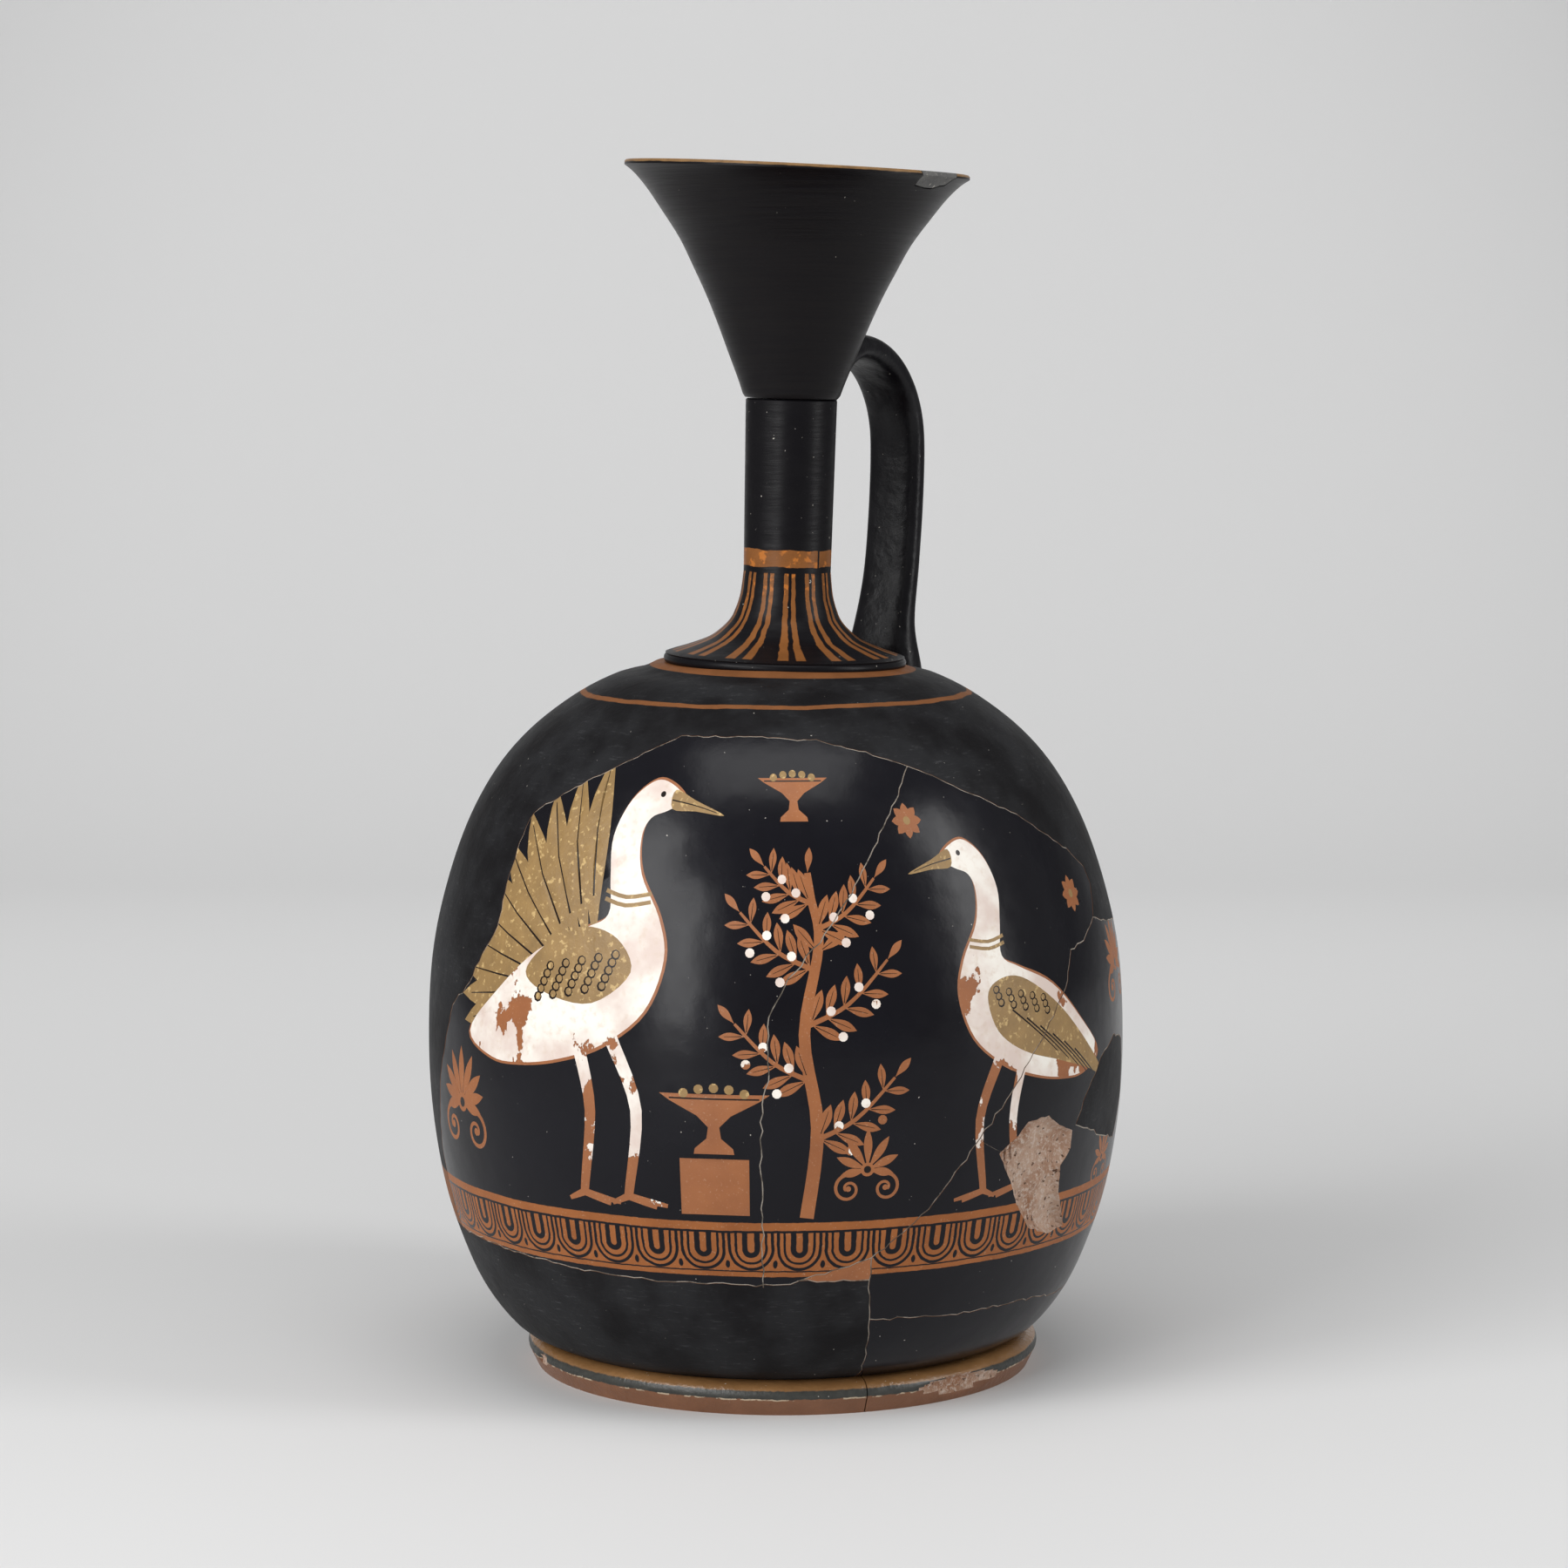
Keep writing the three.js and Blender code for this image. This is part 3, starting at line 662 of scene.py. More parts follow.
class Painting:
    """Closed outlines on the plan, each with its finish, later ones over earlier ones."""

    def __init__(self):
        self.shapes = []

    def add(self, finish, outline):
        self.shapes.append((finish, [Vector(point) for point in outline]))

    def palmette(self, centre, size, petals):
        """A traditional fan of petals over two volutes."""
        for i in range(petals):
            share = i / (petals - 1) * 2 - 1
            length = size * (1 - 0.34 * abs(share) ** 1.6)
            self.add("clay", petal(centre, share * 1.75, length, size * 0.21))
        self.add("clay", disc(centre, size * 0.17))
        self.add("relief", disc(centre, size * 0.09))
        for hand in (-1, 1):
            middle = centre + Vector((hand * size * 0.46, -size * 0.46))
            line = spiral(middle, math.pi / 2, 1.35, size * 0.36, -hand)
            self.add("clay", ribbon(line, size * 0.085, 0.3, 2))
            self.add("clay", disc(middle, size * 0.07))

    def bowl(self, base, width, plinth):
        """A plain footed bowl of fruit, with or without a plinth under it."""
        half = width / 2
        foot = base + Vector((0, plinth))
        if plinth:
            edge, top = 0.62 * half, plinth - 1.2
            corners = ((-edge, 0), (edge, 0), (edge, top), (-edge, top))
            self.add("clay", [base + Vector(corner) for corner in corners])
        side = [Vector((x * half, y * width)) for x, y in BOWL]
        mirrored = [Vector((-p.x, p.y)) for p in reversed(side)]
        self.add("clay", [foot + p for p in side + mirrored])
        rim = [foot + Vector((x * half, 0.49 * width)) for x in (-0.8, 0, 0.8)]
        self.add("relief", ribbon(rim, 0.4, 0, 2))
        for k in (-2, -1, 0, 1, 2):
            fruit = foot + Vector((0.27 * half * k, (0.585 - 0.012 * k * k) * width))
            self.add("ochre", disc(fruit, 1.15, 10))

    def bough(self, line, leaves, leaf, width):
        """A stem with pairs of leaves and a berry on every second pair."""
        stem = smooth_line(line, 8)
        self.add("clay", ribbon(line, width, 0.5))
        for i in range(leaves):
            at = int((i + 0.6) / leaves * (len(stem) - 2))
            run = stem[at + 1] - stem[at]
            heading = math.atan2(run.x, run.y)
            size = leaf * (1 - 0.3 * i / leaves)
            for hand in (-1, 1):
                turn = heading + hand * 0.85
                self.add("clay", petal(stem[at], turn, size, size * 0.3))
                leaf_run = Vector((math.sin(turn), math.cos(turn))) * size
                vein = [stem[at] + leaf_run * 0.15, stem[at] + leaf_run * 0.8]
                self.add("relief", ribbon(vein, 0.22, 0.5, 2))
                if i % 2:
                    berry = stem[at] + leaf_run * 0.55 - Vector((0, size * 0.34))
                    self.add("white", disc(berry, 1.15, 10))
        self.add("clay", petal(stem[-1], math.atan2(run.x, run.y), leaf * 0.7, leaf * 0.22))


# Half of a bowl's outline, as shares of its half width and of its width
BOWL = ((0.36, 0), (0.34, 0.05), (0.13, 0.14), (0.1, 0.24), (0.3, 0.34), (0.8, 0.47), (0.98, 0.53))
# A bird's outlines in millimetres, from the ground between its feet
BIRD = (
    (-34, 33), (-24, 43), (-12, 53), (0, 58.5), (6, 62), (5, 70), (3.5, 79), (6, 87.5),
    (11.5, 92.5), (17, 91.5), (21, 88), (17, 85.4), (12.8, 83.5), (11.3, 79), (13, 71), (18.5, 62),
    (20.5, 53), (16.5, 42), (7, 34.5), (-4, 30.5), (-15, 28.5), (-25, 28.5),
)
BEAK = ((18, 90.4), (24, 88), (32, 84.6), (24.5, 85.4), (18, 85.8))
FOLDED_WING = (
    (12, 52), (8, 56), (0, 56), (-12, 49), (-24, 39), (-38, 26), (-28, 29), (-14, 33), (0, 37),
    (9, 43),
)
RAISED_WING = ((13, 50), (9, 57), (0, 59), (-9, 55), (-15, 48), (-8, 44), (4, 43))
LEGS = (((1, 34), (4, 20), (1.5, 2.2)), ((9, 36), (15, 21), (12.5, 2.2)))
TOES = ((9, -1.6), (6.5, -2.1), (-4, -1.8))
EYE = Vector((14.6, 89.2))
BEAK_LINE = ((17.5, 87.9), (24, 86.8), (30, 85.2))
COLLAR_RINGS = (64.5, 66.3)


def paint_bird(painting, origin, scale, flip, raised):
    """A tall white water bird with an ochre wing, raised or folded."""

    def draw(finish, outline):
        painting.add(finish, [origin + Vector((flip * p[0], p[1])) * scale for p in outline])

    body = smooth_line(BIRD, 5, closed=True)
    middle = Vector((-4, 50))
    draw("clay", [p + (p - middle).normalized() * 0.7 for p in body])
    for leg in LEGS:
        draw("white", ribbon(leg, 3.2, 0.35))
        foot = Vector(leg[-1])
        for reach in map(Vector, TOES):
            draw("white", ribbon([foot, foot + reach * 0.6, foot + reach], 1.7, 0.5, 3))
    if raised:
        for i in range(11):
            turn = math.radians(-12 - 9.5 * i)
            root = Vector((4 - 1.1 * i, 53 - 0.9 * i))
            draw("ochre", petal(root, turn, 47 - 1.6 * i, 7.4))
            tip = root + Vector((math.sin(turn), math.cos(turn))) * (43 - 1.6 * i)
            draw("relief", ribbon([root.lerp(tip, 0.3), tip], 0.5, 0.6, 2))
    draw("white", body)
    draw("ochre", smooth_line(BEAK, 4, closed=True))
    draw("relief", disc(EYE, 0.75, 10))
    draw("relief", ribbon(BEAK_LINE, 0.35, 0.5, 3))
    draw("ochre", smooth_line(RAISED_WING if raised else FOLDED_WING, 5, closed=True))
    for row in range(5 if raised else 3):
        for k in range(5):
            spot = Vector((9 - 4.2 * k - 0.7 * row, 53.5 - 1.7 * row - 0.9 * k))
            draw("relief", disc(spot, 1.15, 8))
            draw("ochre", disc(spot + Vector((0.1, 0.1)), 0.78, 8))
    if not raised:
        for k in range(6):
            start = Vector((4 - 5 * k, 48 - 2.6 * k))
            plume = [start, start + Vector((-9, -6.5)), start + Vector((-17, -12.5))]
            draw("relief", ribbon(plume, 0.5, 0.5, 3))
    for height in COLLAR_RINGS:
        ring = ((4.6, height + 0.8), (10, height - 0.4), (16.2, height + 0.6))
        draw("ochre", ribbon(ring, 0.9, 0, 3))


TRUNK = ((5, 53), (6.5, 75), (4.5, 97), (7, 118), (6, 128), (5.5, 134))
# Where each bough leaves the trunk, its hand and its reach
BOUGHS = (
    (6.3, 72, 1, 19), (5.5, 86, -1, 18), (5, 99, 1, 20), (6, 112, -1, 18), (6.5, 121, 1, 16),
    (6, 127, -1, 12),
)
# Angle, height, size and number of petals
PALMETTES = ((-61, 73, 14, 9), (77, 104, 12, 9), (14.5, 64.5, 10, 7), (70, 57, 8, 7))
ROSETTES = ((25, 145), (61, 124))


def belly_painting(wall):
    """Two water birds beside a laurel, with bowls, palmettes and rosettes round them."""
    painting = Painting()
    paint_bird(painting, wall.plan(-33, GROUND_LINE), 1.12, 1, True)
    paint_bird(painting, wall.plan(43, GROUND_LINE), 0.94, -1, False)
    painting.bough(wall.plan_line(TRUNK), 1, 9, 3.4)
    for angle, height, hand, reach in BOUGHS:
        root = wall.plan(angle, height)
        bends = ((0, 0), (hand * 0.5, 0.25), (hand, 0.75))
        painting.bough([root + Vector(bend) * reach for bend in bends], 5, 8.6, 1.3)
    painting.bowl(wall.plan(-9.5, GROUND_LINE - 1), 27, 15)
    painting.bowl(wall.plan(3.5, 145.5), 22, 0)
    for angle, height, size, petals in PALMETTES:
        painting.palmette(wall.plan(angle, height), size, petals)
    for place in ROSETTES:
        centre = wall.plan(*place)
        for k in range(8):
            painting.add("clay", petal(centre, k * math.pi / 4, 4.6, 2.4, 6))
        painting.add("ochre", disc(centre, 1.1, 10))
    return painting


def inside(points, outline):
    """Which points lie inside a closed outline."""
    xs, ys = points[:, 0], points[:, 1]
    hits = np.zeros(len(points), bool)
    corners = np.array([(p[0], p[1]) for p in outline])
    low, high = corners.min(0), corners.max(0)
    near = (xs > low[0]) & (xs < high[0]) & (ys > low[1]) & (ys < high[1])
    px, py = xs[near], ys[near]
    inner = np.zeros(len(px), bool)
    for (ax, ay), (bx, by) in zip(corners, np.roll(corners, -1, axis=0)):
        if ay == by:
            continue
        crosses = ((ay > py) != (by > py)) & (px < (bx - ax) * (py - ay) / (by - ay) + ax)
        inner ^= crosses
    hits[near] = inner
    return hits


def deselect_all():
    if bpy.context.object and bpy.context.object.mode != "OBJECT":
        bpy.ops.object.mode_set(mode="OBJECT")
    bpy.ops.object.select_all(action="DESELECT")


def pick(piece):
    """Selects one piece alone and makes it active."""
    deselect_all()
    piece.select_set(True)
    bpy.context.view_layer.objects.active = piece


def new_object(name, points, faces, edges=()):
    """A mesh object of its own, selected and active."""
    mesh = bpy.data.meshes.new(name)
    mesh.from_pydata(points, edges, faces)
    piece = bpy.data.objects.new(name, mesh)
    bpy.context.scene.collection.objects.link(piece)
    pick(piece)
    return piece


def face_outwards():
    """Turns the faces of the active piece outwards."""
    bpy.ops.object.mode_set(mode="EDIT")
    bpy.ops.mesh.select_all(action="SELECT")
    bpy.ops.mesh.normals_make_consistent(inside=False)
    bpy.ops.object.mode_set(mode="OBJECT")


def apply_modifiers(piece):
    pick(piece)
    for modifier in list(piece.modifiers):
        bpy.ops.object.modifier_apply(modifier=modifier.name)


def thicken(piece, thickness):
    """Gives a skin its thickness, inwards."""
    thick = piece.modifiers.new("thickness", "SOLIDIFY")
    thick.thickness = thickness * MM
    thick.offset = -1
    apply_modifiers(piece)


def settle(piece, slot, *nodes):
    """A finished piece rides on the jar and stands for its CAD nodes."""
    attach(piece, ROOT)
    if nodes:
        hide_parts(*nodes)


class Skin:
    """The wall's surface as triangles that follow every break and every painted outline."""

    def __init__(self, wall, sizes):
        self.wall = wall
        self.sizes = sizes
        self.points, self.edges = [], []
        self.draw_breaks()
        spall_edge = wall.plan_line([*SPALL_EDGE, SPALL_EDGE[0]])
        self.spall = wandering(spall_edge, 0.5, 1.5, 91)[:-1]
        self.chain(self.spall)
        self.painting = belly_painting(wall)
        for _, outline in self.painting.shapes:
            self.chain(outline)
        self.draw_grid()
        self.fill_spall()
        result = delaunay_2d_cdt(self.points, self.edges, [], 0, 1e-5, True)
        self.plan_points = np.array([p[:] for p in result[0]])
        self.triangles = np.array([face for face in result[2] if len(face) == 3])
        corners = self.plan_points[self.triangles]
        (first_x, first_y), (second_x, second_y) = (
            (corners[:, k] - corners[:, 0]).T for k in (1, 2)
        )
        areas = first_x * second_y - first_y * second_x
        flipped = areas < 0
        self.triangles[flipped] = self.triangles[flipped][:, ::-1]
        across, up = corners.mean(1).T
        on_wall = (np.abs(across) < wall.seam) & (up > 0) & (up < wall.top)
        self.triangles = self.triangles[on_wall & (np.abs(areas) > 1e-9)]
        self.centres = self.plan_points[self.triangles].mean(1)
        self.sort_out(result)

    def chain(self, line):
        """Adds a closed line that the triangles have to follow."""
        first = len(self.points)
        self.points.extend(line)
        self.edges.extend((first + i, first + (i + 1) % len(line)) for i in range(len(line)))

    def draw_breaks(self):
        """Adds both sides of each joint."""
        for number, (name, line) in enumerate(BREAKS.items()):
            closed = line[0] == line[-1]
            rough = wandering(
                self.wall.plan_line(line), self.sizes.break_wander, 2.2, number * 7.3
            )
            half_gap = self.sizes.joint_gap / 2 * (0.4 if name == "spall_crack" else 1)
            left, right = sides_of(rough, half_gap, closed)
            if closed:
                self.chain(left[:-1])
                self.chain(right[:-1])
            else:
                self.chain(left + right[::-1])
        self.break_edges = len(self.edges)

    def draw_grid(self):
        """Adds the wall's rim and rows of points, each second row shifted by half a pitch."""
        side, top = self.wall.seam, self.wall.top
        columns = round(2 * side / self.sizes.skin_pitch)
        rows = round(top / self.sizes.skin_pitch)
        for j in range(rows + 1):
            for i in range(columns + 1):
                on_rim = i in (0, columns) or j in (0, rows)
                shift = 0 if on_rim else 0.5 * (j % 2)
                across = side * (2 * min(i + shift, columns) / columns - 1)
                self.points.append(Vector((across, top * j / rows)))
        self.chain([Vector(p) for p in ((-side, 0), (side, 0), (side, top), (-side, top))])

    def fill_spall(self):
        """Adds close points over the spall, for its rough ground."""
        edge = np.array([p[:] for p in self.spall])
        low = edge.min(0)
        columns, rows = ((edge.max(0) - low) / SPALL_PITCH).astype(int)
        for i in range(columns):
            for j in range(rows):
                across = low[0] + SPALL_PITCH * (i + 0.5 * (j % 2))
                self.points.append(Vector((across, low[1] + SPALL_PITCH * j)))

    def sort_out(self, result):
        """Tells apart the pieces between the breaks, and gives each triangle its finish."""
        self.finish = np.zeros(len(self.centres), int)
        for finish, outline in self.painting.shapes:
            self.finish[inside(self.centres, outline)] = 1 + PAINTS.index(finish)
        self.in_spall = inside(self.centres, self.spall)
        breaks = {
            tuple(sorted(edge)) for edge, origins in zip(result[1], result[4])
            if any(origin < self.break_edges for origin in origins)
        }
        label = list(range(len(self.triangles)))

        def root_of(i):
            while label[i] != i:
                label[i] = label[label[i]]
                i = label[i]
            return i

        beside, at_corner = {}, {}
        for i, corners in enumerate(self.triangles.tolist()):
            for a, b in zip(corners, corners[1:] + corners[:1]):
                edge = (min(a, b), max(a, b))
                at_corner[a] = i
                if edge in beside and edge not in breaks:
                    label[root_of(i)] = root_of(beside[edge])
                beside[edge] = i
        break_behind = self.wall.plan(*BREAKS["low_joint_behind_left"][-1]).y
        rims = [
            {round(y, 3): i for i, (x, y) in enumerate(self.plan_points)
             if abs(x - end) < 1e-4 and abs(y - break_behind) > 1 and i in at_corner}
            for end in (-self.wall.seam, self.wall.seam)
        ]
        for y in rims[0].keys() & rims[1].keys():
            label[root_of(at_corner[rims[0][y]])] = root_of(at_corner[rims[1][y]])
        self.piece_of = np.array([root_of(i) for i in range(len(self.triangles))])
        self.in_joint = np.ones(len(self.triangles), bool)
        for place in WALL_PROBES.values():
            self.in_joint &= ~self.node_faces(*place)

    def node_faces(self, angle, height):
        """The triangles of the piece that holds a place."""
        probe = np.array(self.wall.plan(angle, height)[:])
        nearest = np.argmin(np.hypot(*(self.centres - probe).T))
        return self.piece_of == self.piece_of[nearest]

    def mesh(self, name, chosen, finishes, lift=0.0):
        """A mesh of chosen triangles, in place on the jar, with the seam behind closed."""
        triangles = self.triangles[chosen]
        used, flat = np.unique(triangles, return_inverse=True)
        hollow = self.spall_depths(used)
        points = [
            self.wall.surface(*self.plan_points[k], lift - depth) for k, depth in zip(used, hollow)
        ]
        piece = new_object(name, points, flat.reshape(-1, 3).tolist())
        piece.data.polygons.foreach_set("material_index", finishes.astype(np.int32))
        bpy.ops.object.mode_set(mode="EDIT")
        bpy.ops.mesh.select_all(action="SELECT")
        bpy.ops.mesh.remove_doubles(threshold=2e-6)
        bpy.ops.object.mode_set(mode="OBJECT")
        return piece

    def spall_depths(self, used):
        """How deep the spall lies under the surface at each point."""
        points = self.plan_points[used]
        starts = np.array([p[:] for p in self.spall])
        runs = np.roll(starts, -1, axis=0) - starts
        depths = np.zeros(len(points))
        for k in np.nonzero(inside(points, self.spall))[0]:
            away = points[k] - starts
            along = np.clip((away * runs).sum(1) / (runs * runs).sum(1), 0, 1)
            rim = np.hypot(*(away - along[:, None] * runs).T).min()
            if rim >= 1e-3:
                place = (points[k][0] * 0.35, points[k][1] * 0.35, 3.1)
                rough = 0.8 + 0.25 * noise.fractal(place, 0.9, 2.2, 4)
                depths[k] = self.sizes.spall_depth * (1 - math.exp(-rim / SPALL_RIM)) * rough
        return depths


def shell_of(skin, name, chosen, base, slot):
    """One sherd or fill: its painted face, its thickness and its broken edges."""
    if base == "fill":
        kept = (base, "raw")
        finishes = np.zeros(int(chosen.sum()))
    else:
        kept = (base, *PAINTS, "broken", "raw")
        finishes = np.where(skin.in_spall[chosen], kept.index("broken"), skin.finish[chosen])
    piece = skin.mesh("jar_" + name, chosen, finishes)
    mesh = piece.data
    for finish in kept:
        mesh.materials.append(material(finish))
    outer = len(mesh.polygons)
    thicken(piece, skin.sizes.wall_thickness)
    indices = np.zeros(len(mesh.polygons), np.int32)
    mesh.polygons.foreach_get("material_index", indices)
    indices[outer:] = len(kept) - 1
    mesh.polygons.foreach_set("material_index", indices)
    bpy.ops.object.shade_smooth_by_angle(angle=SMOOTH_UNDER)
    settle(piece, slot, name)


def turned(name, outline, steps, start=0.0, sweep=360.0):
    """Turns a closed outline of radii and heights round the upright axis by edit mode's spin."""
    turn = math.radians(start)
    points = [
        Vector((radius * math.sin(turn), -radius * math.cos(turn), height)) * MM
        for radius, height in outline
    ]
    edges = [(i, (i + 1) % len(points)) for i in range(len(points))]
    piece = new_object(name, points, [], edges)
    bpy.ops.object.mode_set(mode="EDIT")
    bpy.ops.mesh.select_all(action="SELECT")
    if sweep < 360:
        bpy.ops.mesh.edge_face_add()
        bpy.ops.mesh.select_all(action="SELECT")
    # Without a window the spin turns clockwise, so its angle is negative
    bpy.ops.mesh.spin(steps=steps, angle=-math.radians(sweep), center=(0, 0, 0), axis=(0, 0, 1))
    bpy.ops.mesh.select_all(action="SELECT")
    bpy.ops.mesh.remove_doubles(threshold=1e-6)
    bpy.ops.mesh.normals_make_consistent(inside=False)
    bpy.ops.object.mode_set(mode="OBJECT")
    bpy.ops.object.shade_smooth_by_angle(angle=SMOOTH_UNDER)
    return piece


def offset_line(line, distance):
    """A line of radii and heights moved towards the axis."""
    moved = []
    for i, point in enumerate(line):
        run = (line[min(i + 1, len(line) - 1)] - line[max(i - 1, 0)]).normalized()
        moved.append(Vector((point.x - run.y * distance, point.y + run.x * distance)))
    return moved


class OilJarSizes(bpy.types.PropertyGroup):
    """Sizes of the jar that a user may change."""

    def size(name, description, millimetres):
        return bpy.props.FloatProperty(
            name=name, description=description, default=millimetres * MM, min=0, precision=4,
            unit="LENGTH",
        )

    body_radius: size("Body radius", "Widest radius of the body", 87.5)
    wall_thickness: size("Wall thickness", "Thickness of the body's wall", 4.5)
    shoulder_hole_radius: size("Shoulder hole radius", "Radius of the hole under the neck", 12)
    joint_gap: size("Joint gap", "Gap between two sherds", 0.3)
    break_wander: size("Break wander", "How far a break strays from its line", 0.9)
    skin_pitch: size("Skin pitch", "Spacing of the wall's points", 2.6)
    spall_depth: size("Spall depth", "Depth of the flake lost from the belly", 2.9)
    mouth_radius: size("Mouth radius", "Radius of the mouth at the lip", 42.8)
    mouth_height: size("Mouth height", "Height of the mouth over the neck", 56.8)
    lip_width: size("Lip width", "Width of the flat lip", 3.6)
    bore_radius: size("Bore radius", "Radius of the way through the neck", 6.5)
    foot_radius: size("Foot radius", "Widest radius of the foot", 64.6)
    handle_reach: size("Handle reach", "From the neck's axis to the middle of the strap", 52.4)
    strap_width: size("Strap width", "Width of the handle's strap", 15.5)
    strap_thickness: size("Strap thickness", "Thickness of the handle's strap", 6.4)


def sizes_in_millimetres(context):
    sizes = context.scene.oil_jar_sizes
    return SimpleNamespace(**{
        name: round(getattr(sizes, name) / MM, 4) for name in setting_names(sizes)
    })


def setting_names(settings):
    return [name for name in settings.bl_rna.properties.keys() if name not in ("rna_type", "name")]


class OilJarColours(bpy.types.PropertyGroup):
    """Colours of the jar's clay and paint."""

    def tone(name, description, default):
        return bpy.props.FloatVectorProperty(
            name=name, description=description, default=default, size=3, min=0, max=1,
            subtype="COLOR",
        )

    clay_dark: tone("Dark clay", "Reserved clay where it is dark", (0.2, 0.062, 0.017))
    clay_light: tone("Light clay", "Reserved clay where it is light", (0.37, 0.13, 0.038))
    glaze_black: tone("Glaze", "Black of the glaze", (0.003, 0.0024, 0.004))
    glaze_blue: tone("Blue glaze", "Glaze where it is blue-black", (0.006, 0.006, 0.0095))
    fill_black: tone("Fill paint", "Matt black of the restored parts", (0.0065, 0.006, 0.0068))
    fill_grey: tone("Worn fill paint", "Matt black where it is worn", (0.017, 0.0172, 0.0188))
    white: tone("White", "Added white", (0.84, 0.8, 0.73))
    stained_white: tone("Stained white", "Added white where it is stained", (0.66, 0.54, 0.48))
    ochre: tone("Ochre", "Added golden ochre", (0.36, 0.22, 0.075))


class OILJAR_OT_wall(bpy.types.Operator):
    """Model the sherds and fills of the body's wall"""

    bl_idname = "oiljar.wall"
    bl_label = "Wall"

    GLUE_DEPTH = 0.12
    GLUE_THICKNESS = 2

    def execute(self, context):
        sizes = sizes_in_millimetres(context)
        skin = Skin(Wall(sizes), sizes)
        fills = {
            "lower_wall_fill": ("fill", "painted_fill"), "side_fill": ("fill", "painted_fill"),
            "shoulder_and_back_fill": ("fill", "painted_fill"), "band_fill": ("clay", "fired_clay"),
        }
        for name, place in WALL_PROBES.items():
            base, slot = fills.get(name, ("glaze", "black_gloss"))
            shell_of(skin, name, skin.node_faces(*place), base, slot)
        plain = np.zeros(int(skin.in_joint.sum()))
        glue = skin.mesh("jar_joint_glue", skin.in_joint, plain, -self.GLUE_DEPTH)
        thicken(glue, self.GLUE_THICKNESS)
        glue.data.materials.append(material("glue"))
        settle(glue, "plaster_fill")
        return {"FINISHED"}


class OILJAR_OT_foot(bpy.types.Operator):
    """Model the two halves of the ring foot, with its chips"""

    bl_idname = "oiljar.foot"
    bl_label = "Foot"

    # Each chip's angle and height, and half its extent in both
    CHIPS = (((43, 4.4), (12.5, 2)), ((-68, 4.6), (2.4, 1.3)))
    CHIPS_BEYOND = 58
    CHIP_DEPTH = 1.2

    def execute(self, context):
        sizes = sizes_in_millimetres(context)
        foot_radius = sizes.foot_radius
        inner = foot_radius - 10.6
        roll_middle, roll_width = 5, 4.2
        roll = [
            (FOOT_JOINT_RADIUS + roll_width * math.cos(math.radians(turn)),
             roll_middle + (FOOT_TOP - roll_middle) * math.sin(math.radians(turn)))
            for turn in range(0, 91, 9)
        ]
        side = [
            (foot_radius - 2.2 + 2.05 * share, FOOT_SIDE_HEIGHT * share)
            for share in (0, 0.03, 0.25, 0.5, 0.75, 1)
        ]
        outline = [(inner, 0.3), (inner + 0.3, 0), *side, *roll, (inner - 2, FOOT_TOP)]
        gap = math.degrees(sizes.joint_gap / 2 / foot_radius)
        front, back = FOOT_BREAKS
        halves = (("foot_right", front, 360 + back - front), ("foot_left", back, front - back))
        for name, start, sweep in halves:
            piece = turned("jar_" + name, outline, 120, start + gap, sweep - 2 * gap)
            for finish in ("foot", "broken"):
                piece.data.materials.append(material(finish))
            self.chip(piece.data)
            piece.data.transform(Matrix.Translation((FOOT_SHIFT * MM, 0, 0)))
            settle(piece, "fired_clay", name)
        return {"FINISHED"}

    def chip_depth(self, point):
        """How far into a chip a point of the foot lies, from 0 at its rim."""
        if math.hypot(point.x, point.y) < self.CHIPS_BEYOND * MM:
            return 0
        angle = math.degrees(math.atan2(point.x, -point.y))
        wobble = 0.25 * noise.noise(point * 400)
        return max(0, *(
            1 - ((angle - chip_angle) / wide) ** 2 - ((point.z / MM - height) / high) ** 2 + wobble
            for (chip_angle, height), (wide, high) in self.CHIPS
        ))

    def chip(self, mesh):
        """Sinks the chips into the foot and bares the clay in them."""
        for vertex in mesh.vertices:
            depth = self.chip_depth(vertex.co)
            inward = Vector((vertex.co.x, vertex.co.y, 0)).normalized()
            vertex.co -= inward * min(depth * 1.8, self.CHIP_DEPTH) * MM
        for face in mesh.polygons:
            if self.chip_depth(face.center) > 0.04:
                face.material_index = 1


class OILJAR_OT_floor(bpy.types.Operator):
    """Model the bottom inside the foot"""

    bl_idname = "oiljar.floor"
    bl_label = "Floor"

    def execute(self, context):
        radius = sizes_in_millimetres(context).foot_radius - 12.6
        low = [
            (radius * share, FOOT_TOP + 1.2 * (1 - share ** 2) + 0.3 * share)
            for share in (1, 0.8, 0.6, 0.4, 0.2, 0.0005)
        ]
        high = [(across, height + FLOOR_THICKNESS) for across, height in reversed(low)]
        piece = turned("jar_floor", [*low, *high], 96)
        piece.data.materials.append(material("raw"))
        settle(piece, "fired_clay", "floor")
        return {"FINISHED"}


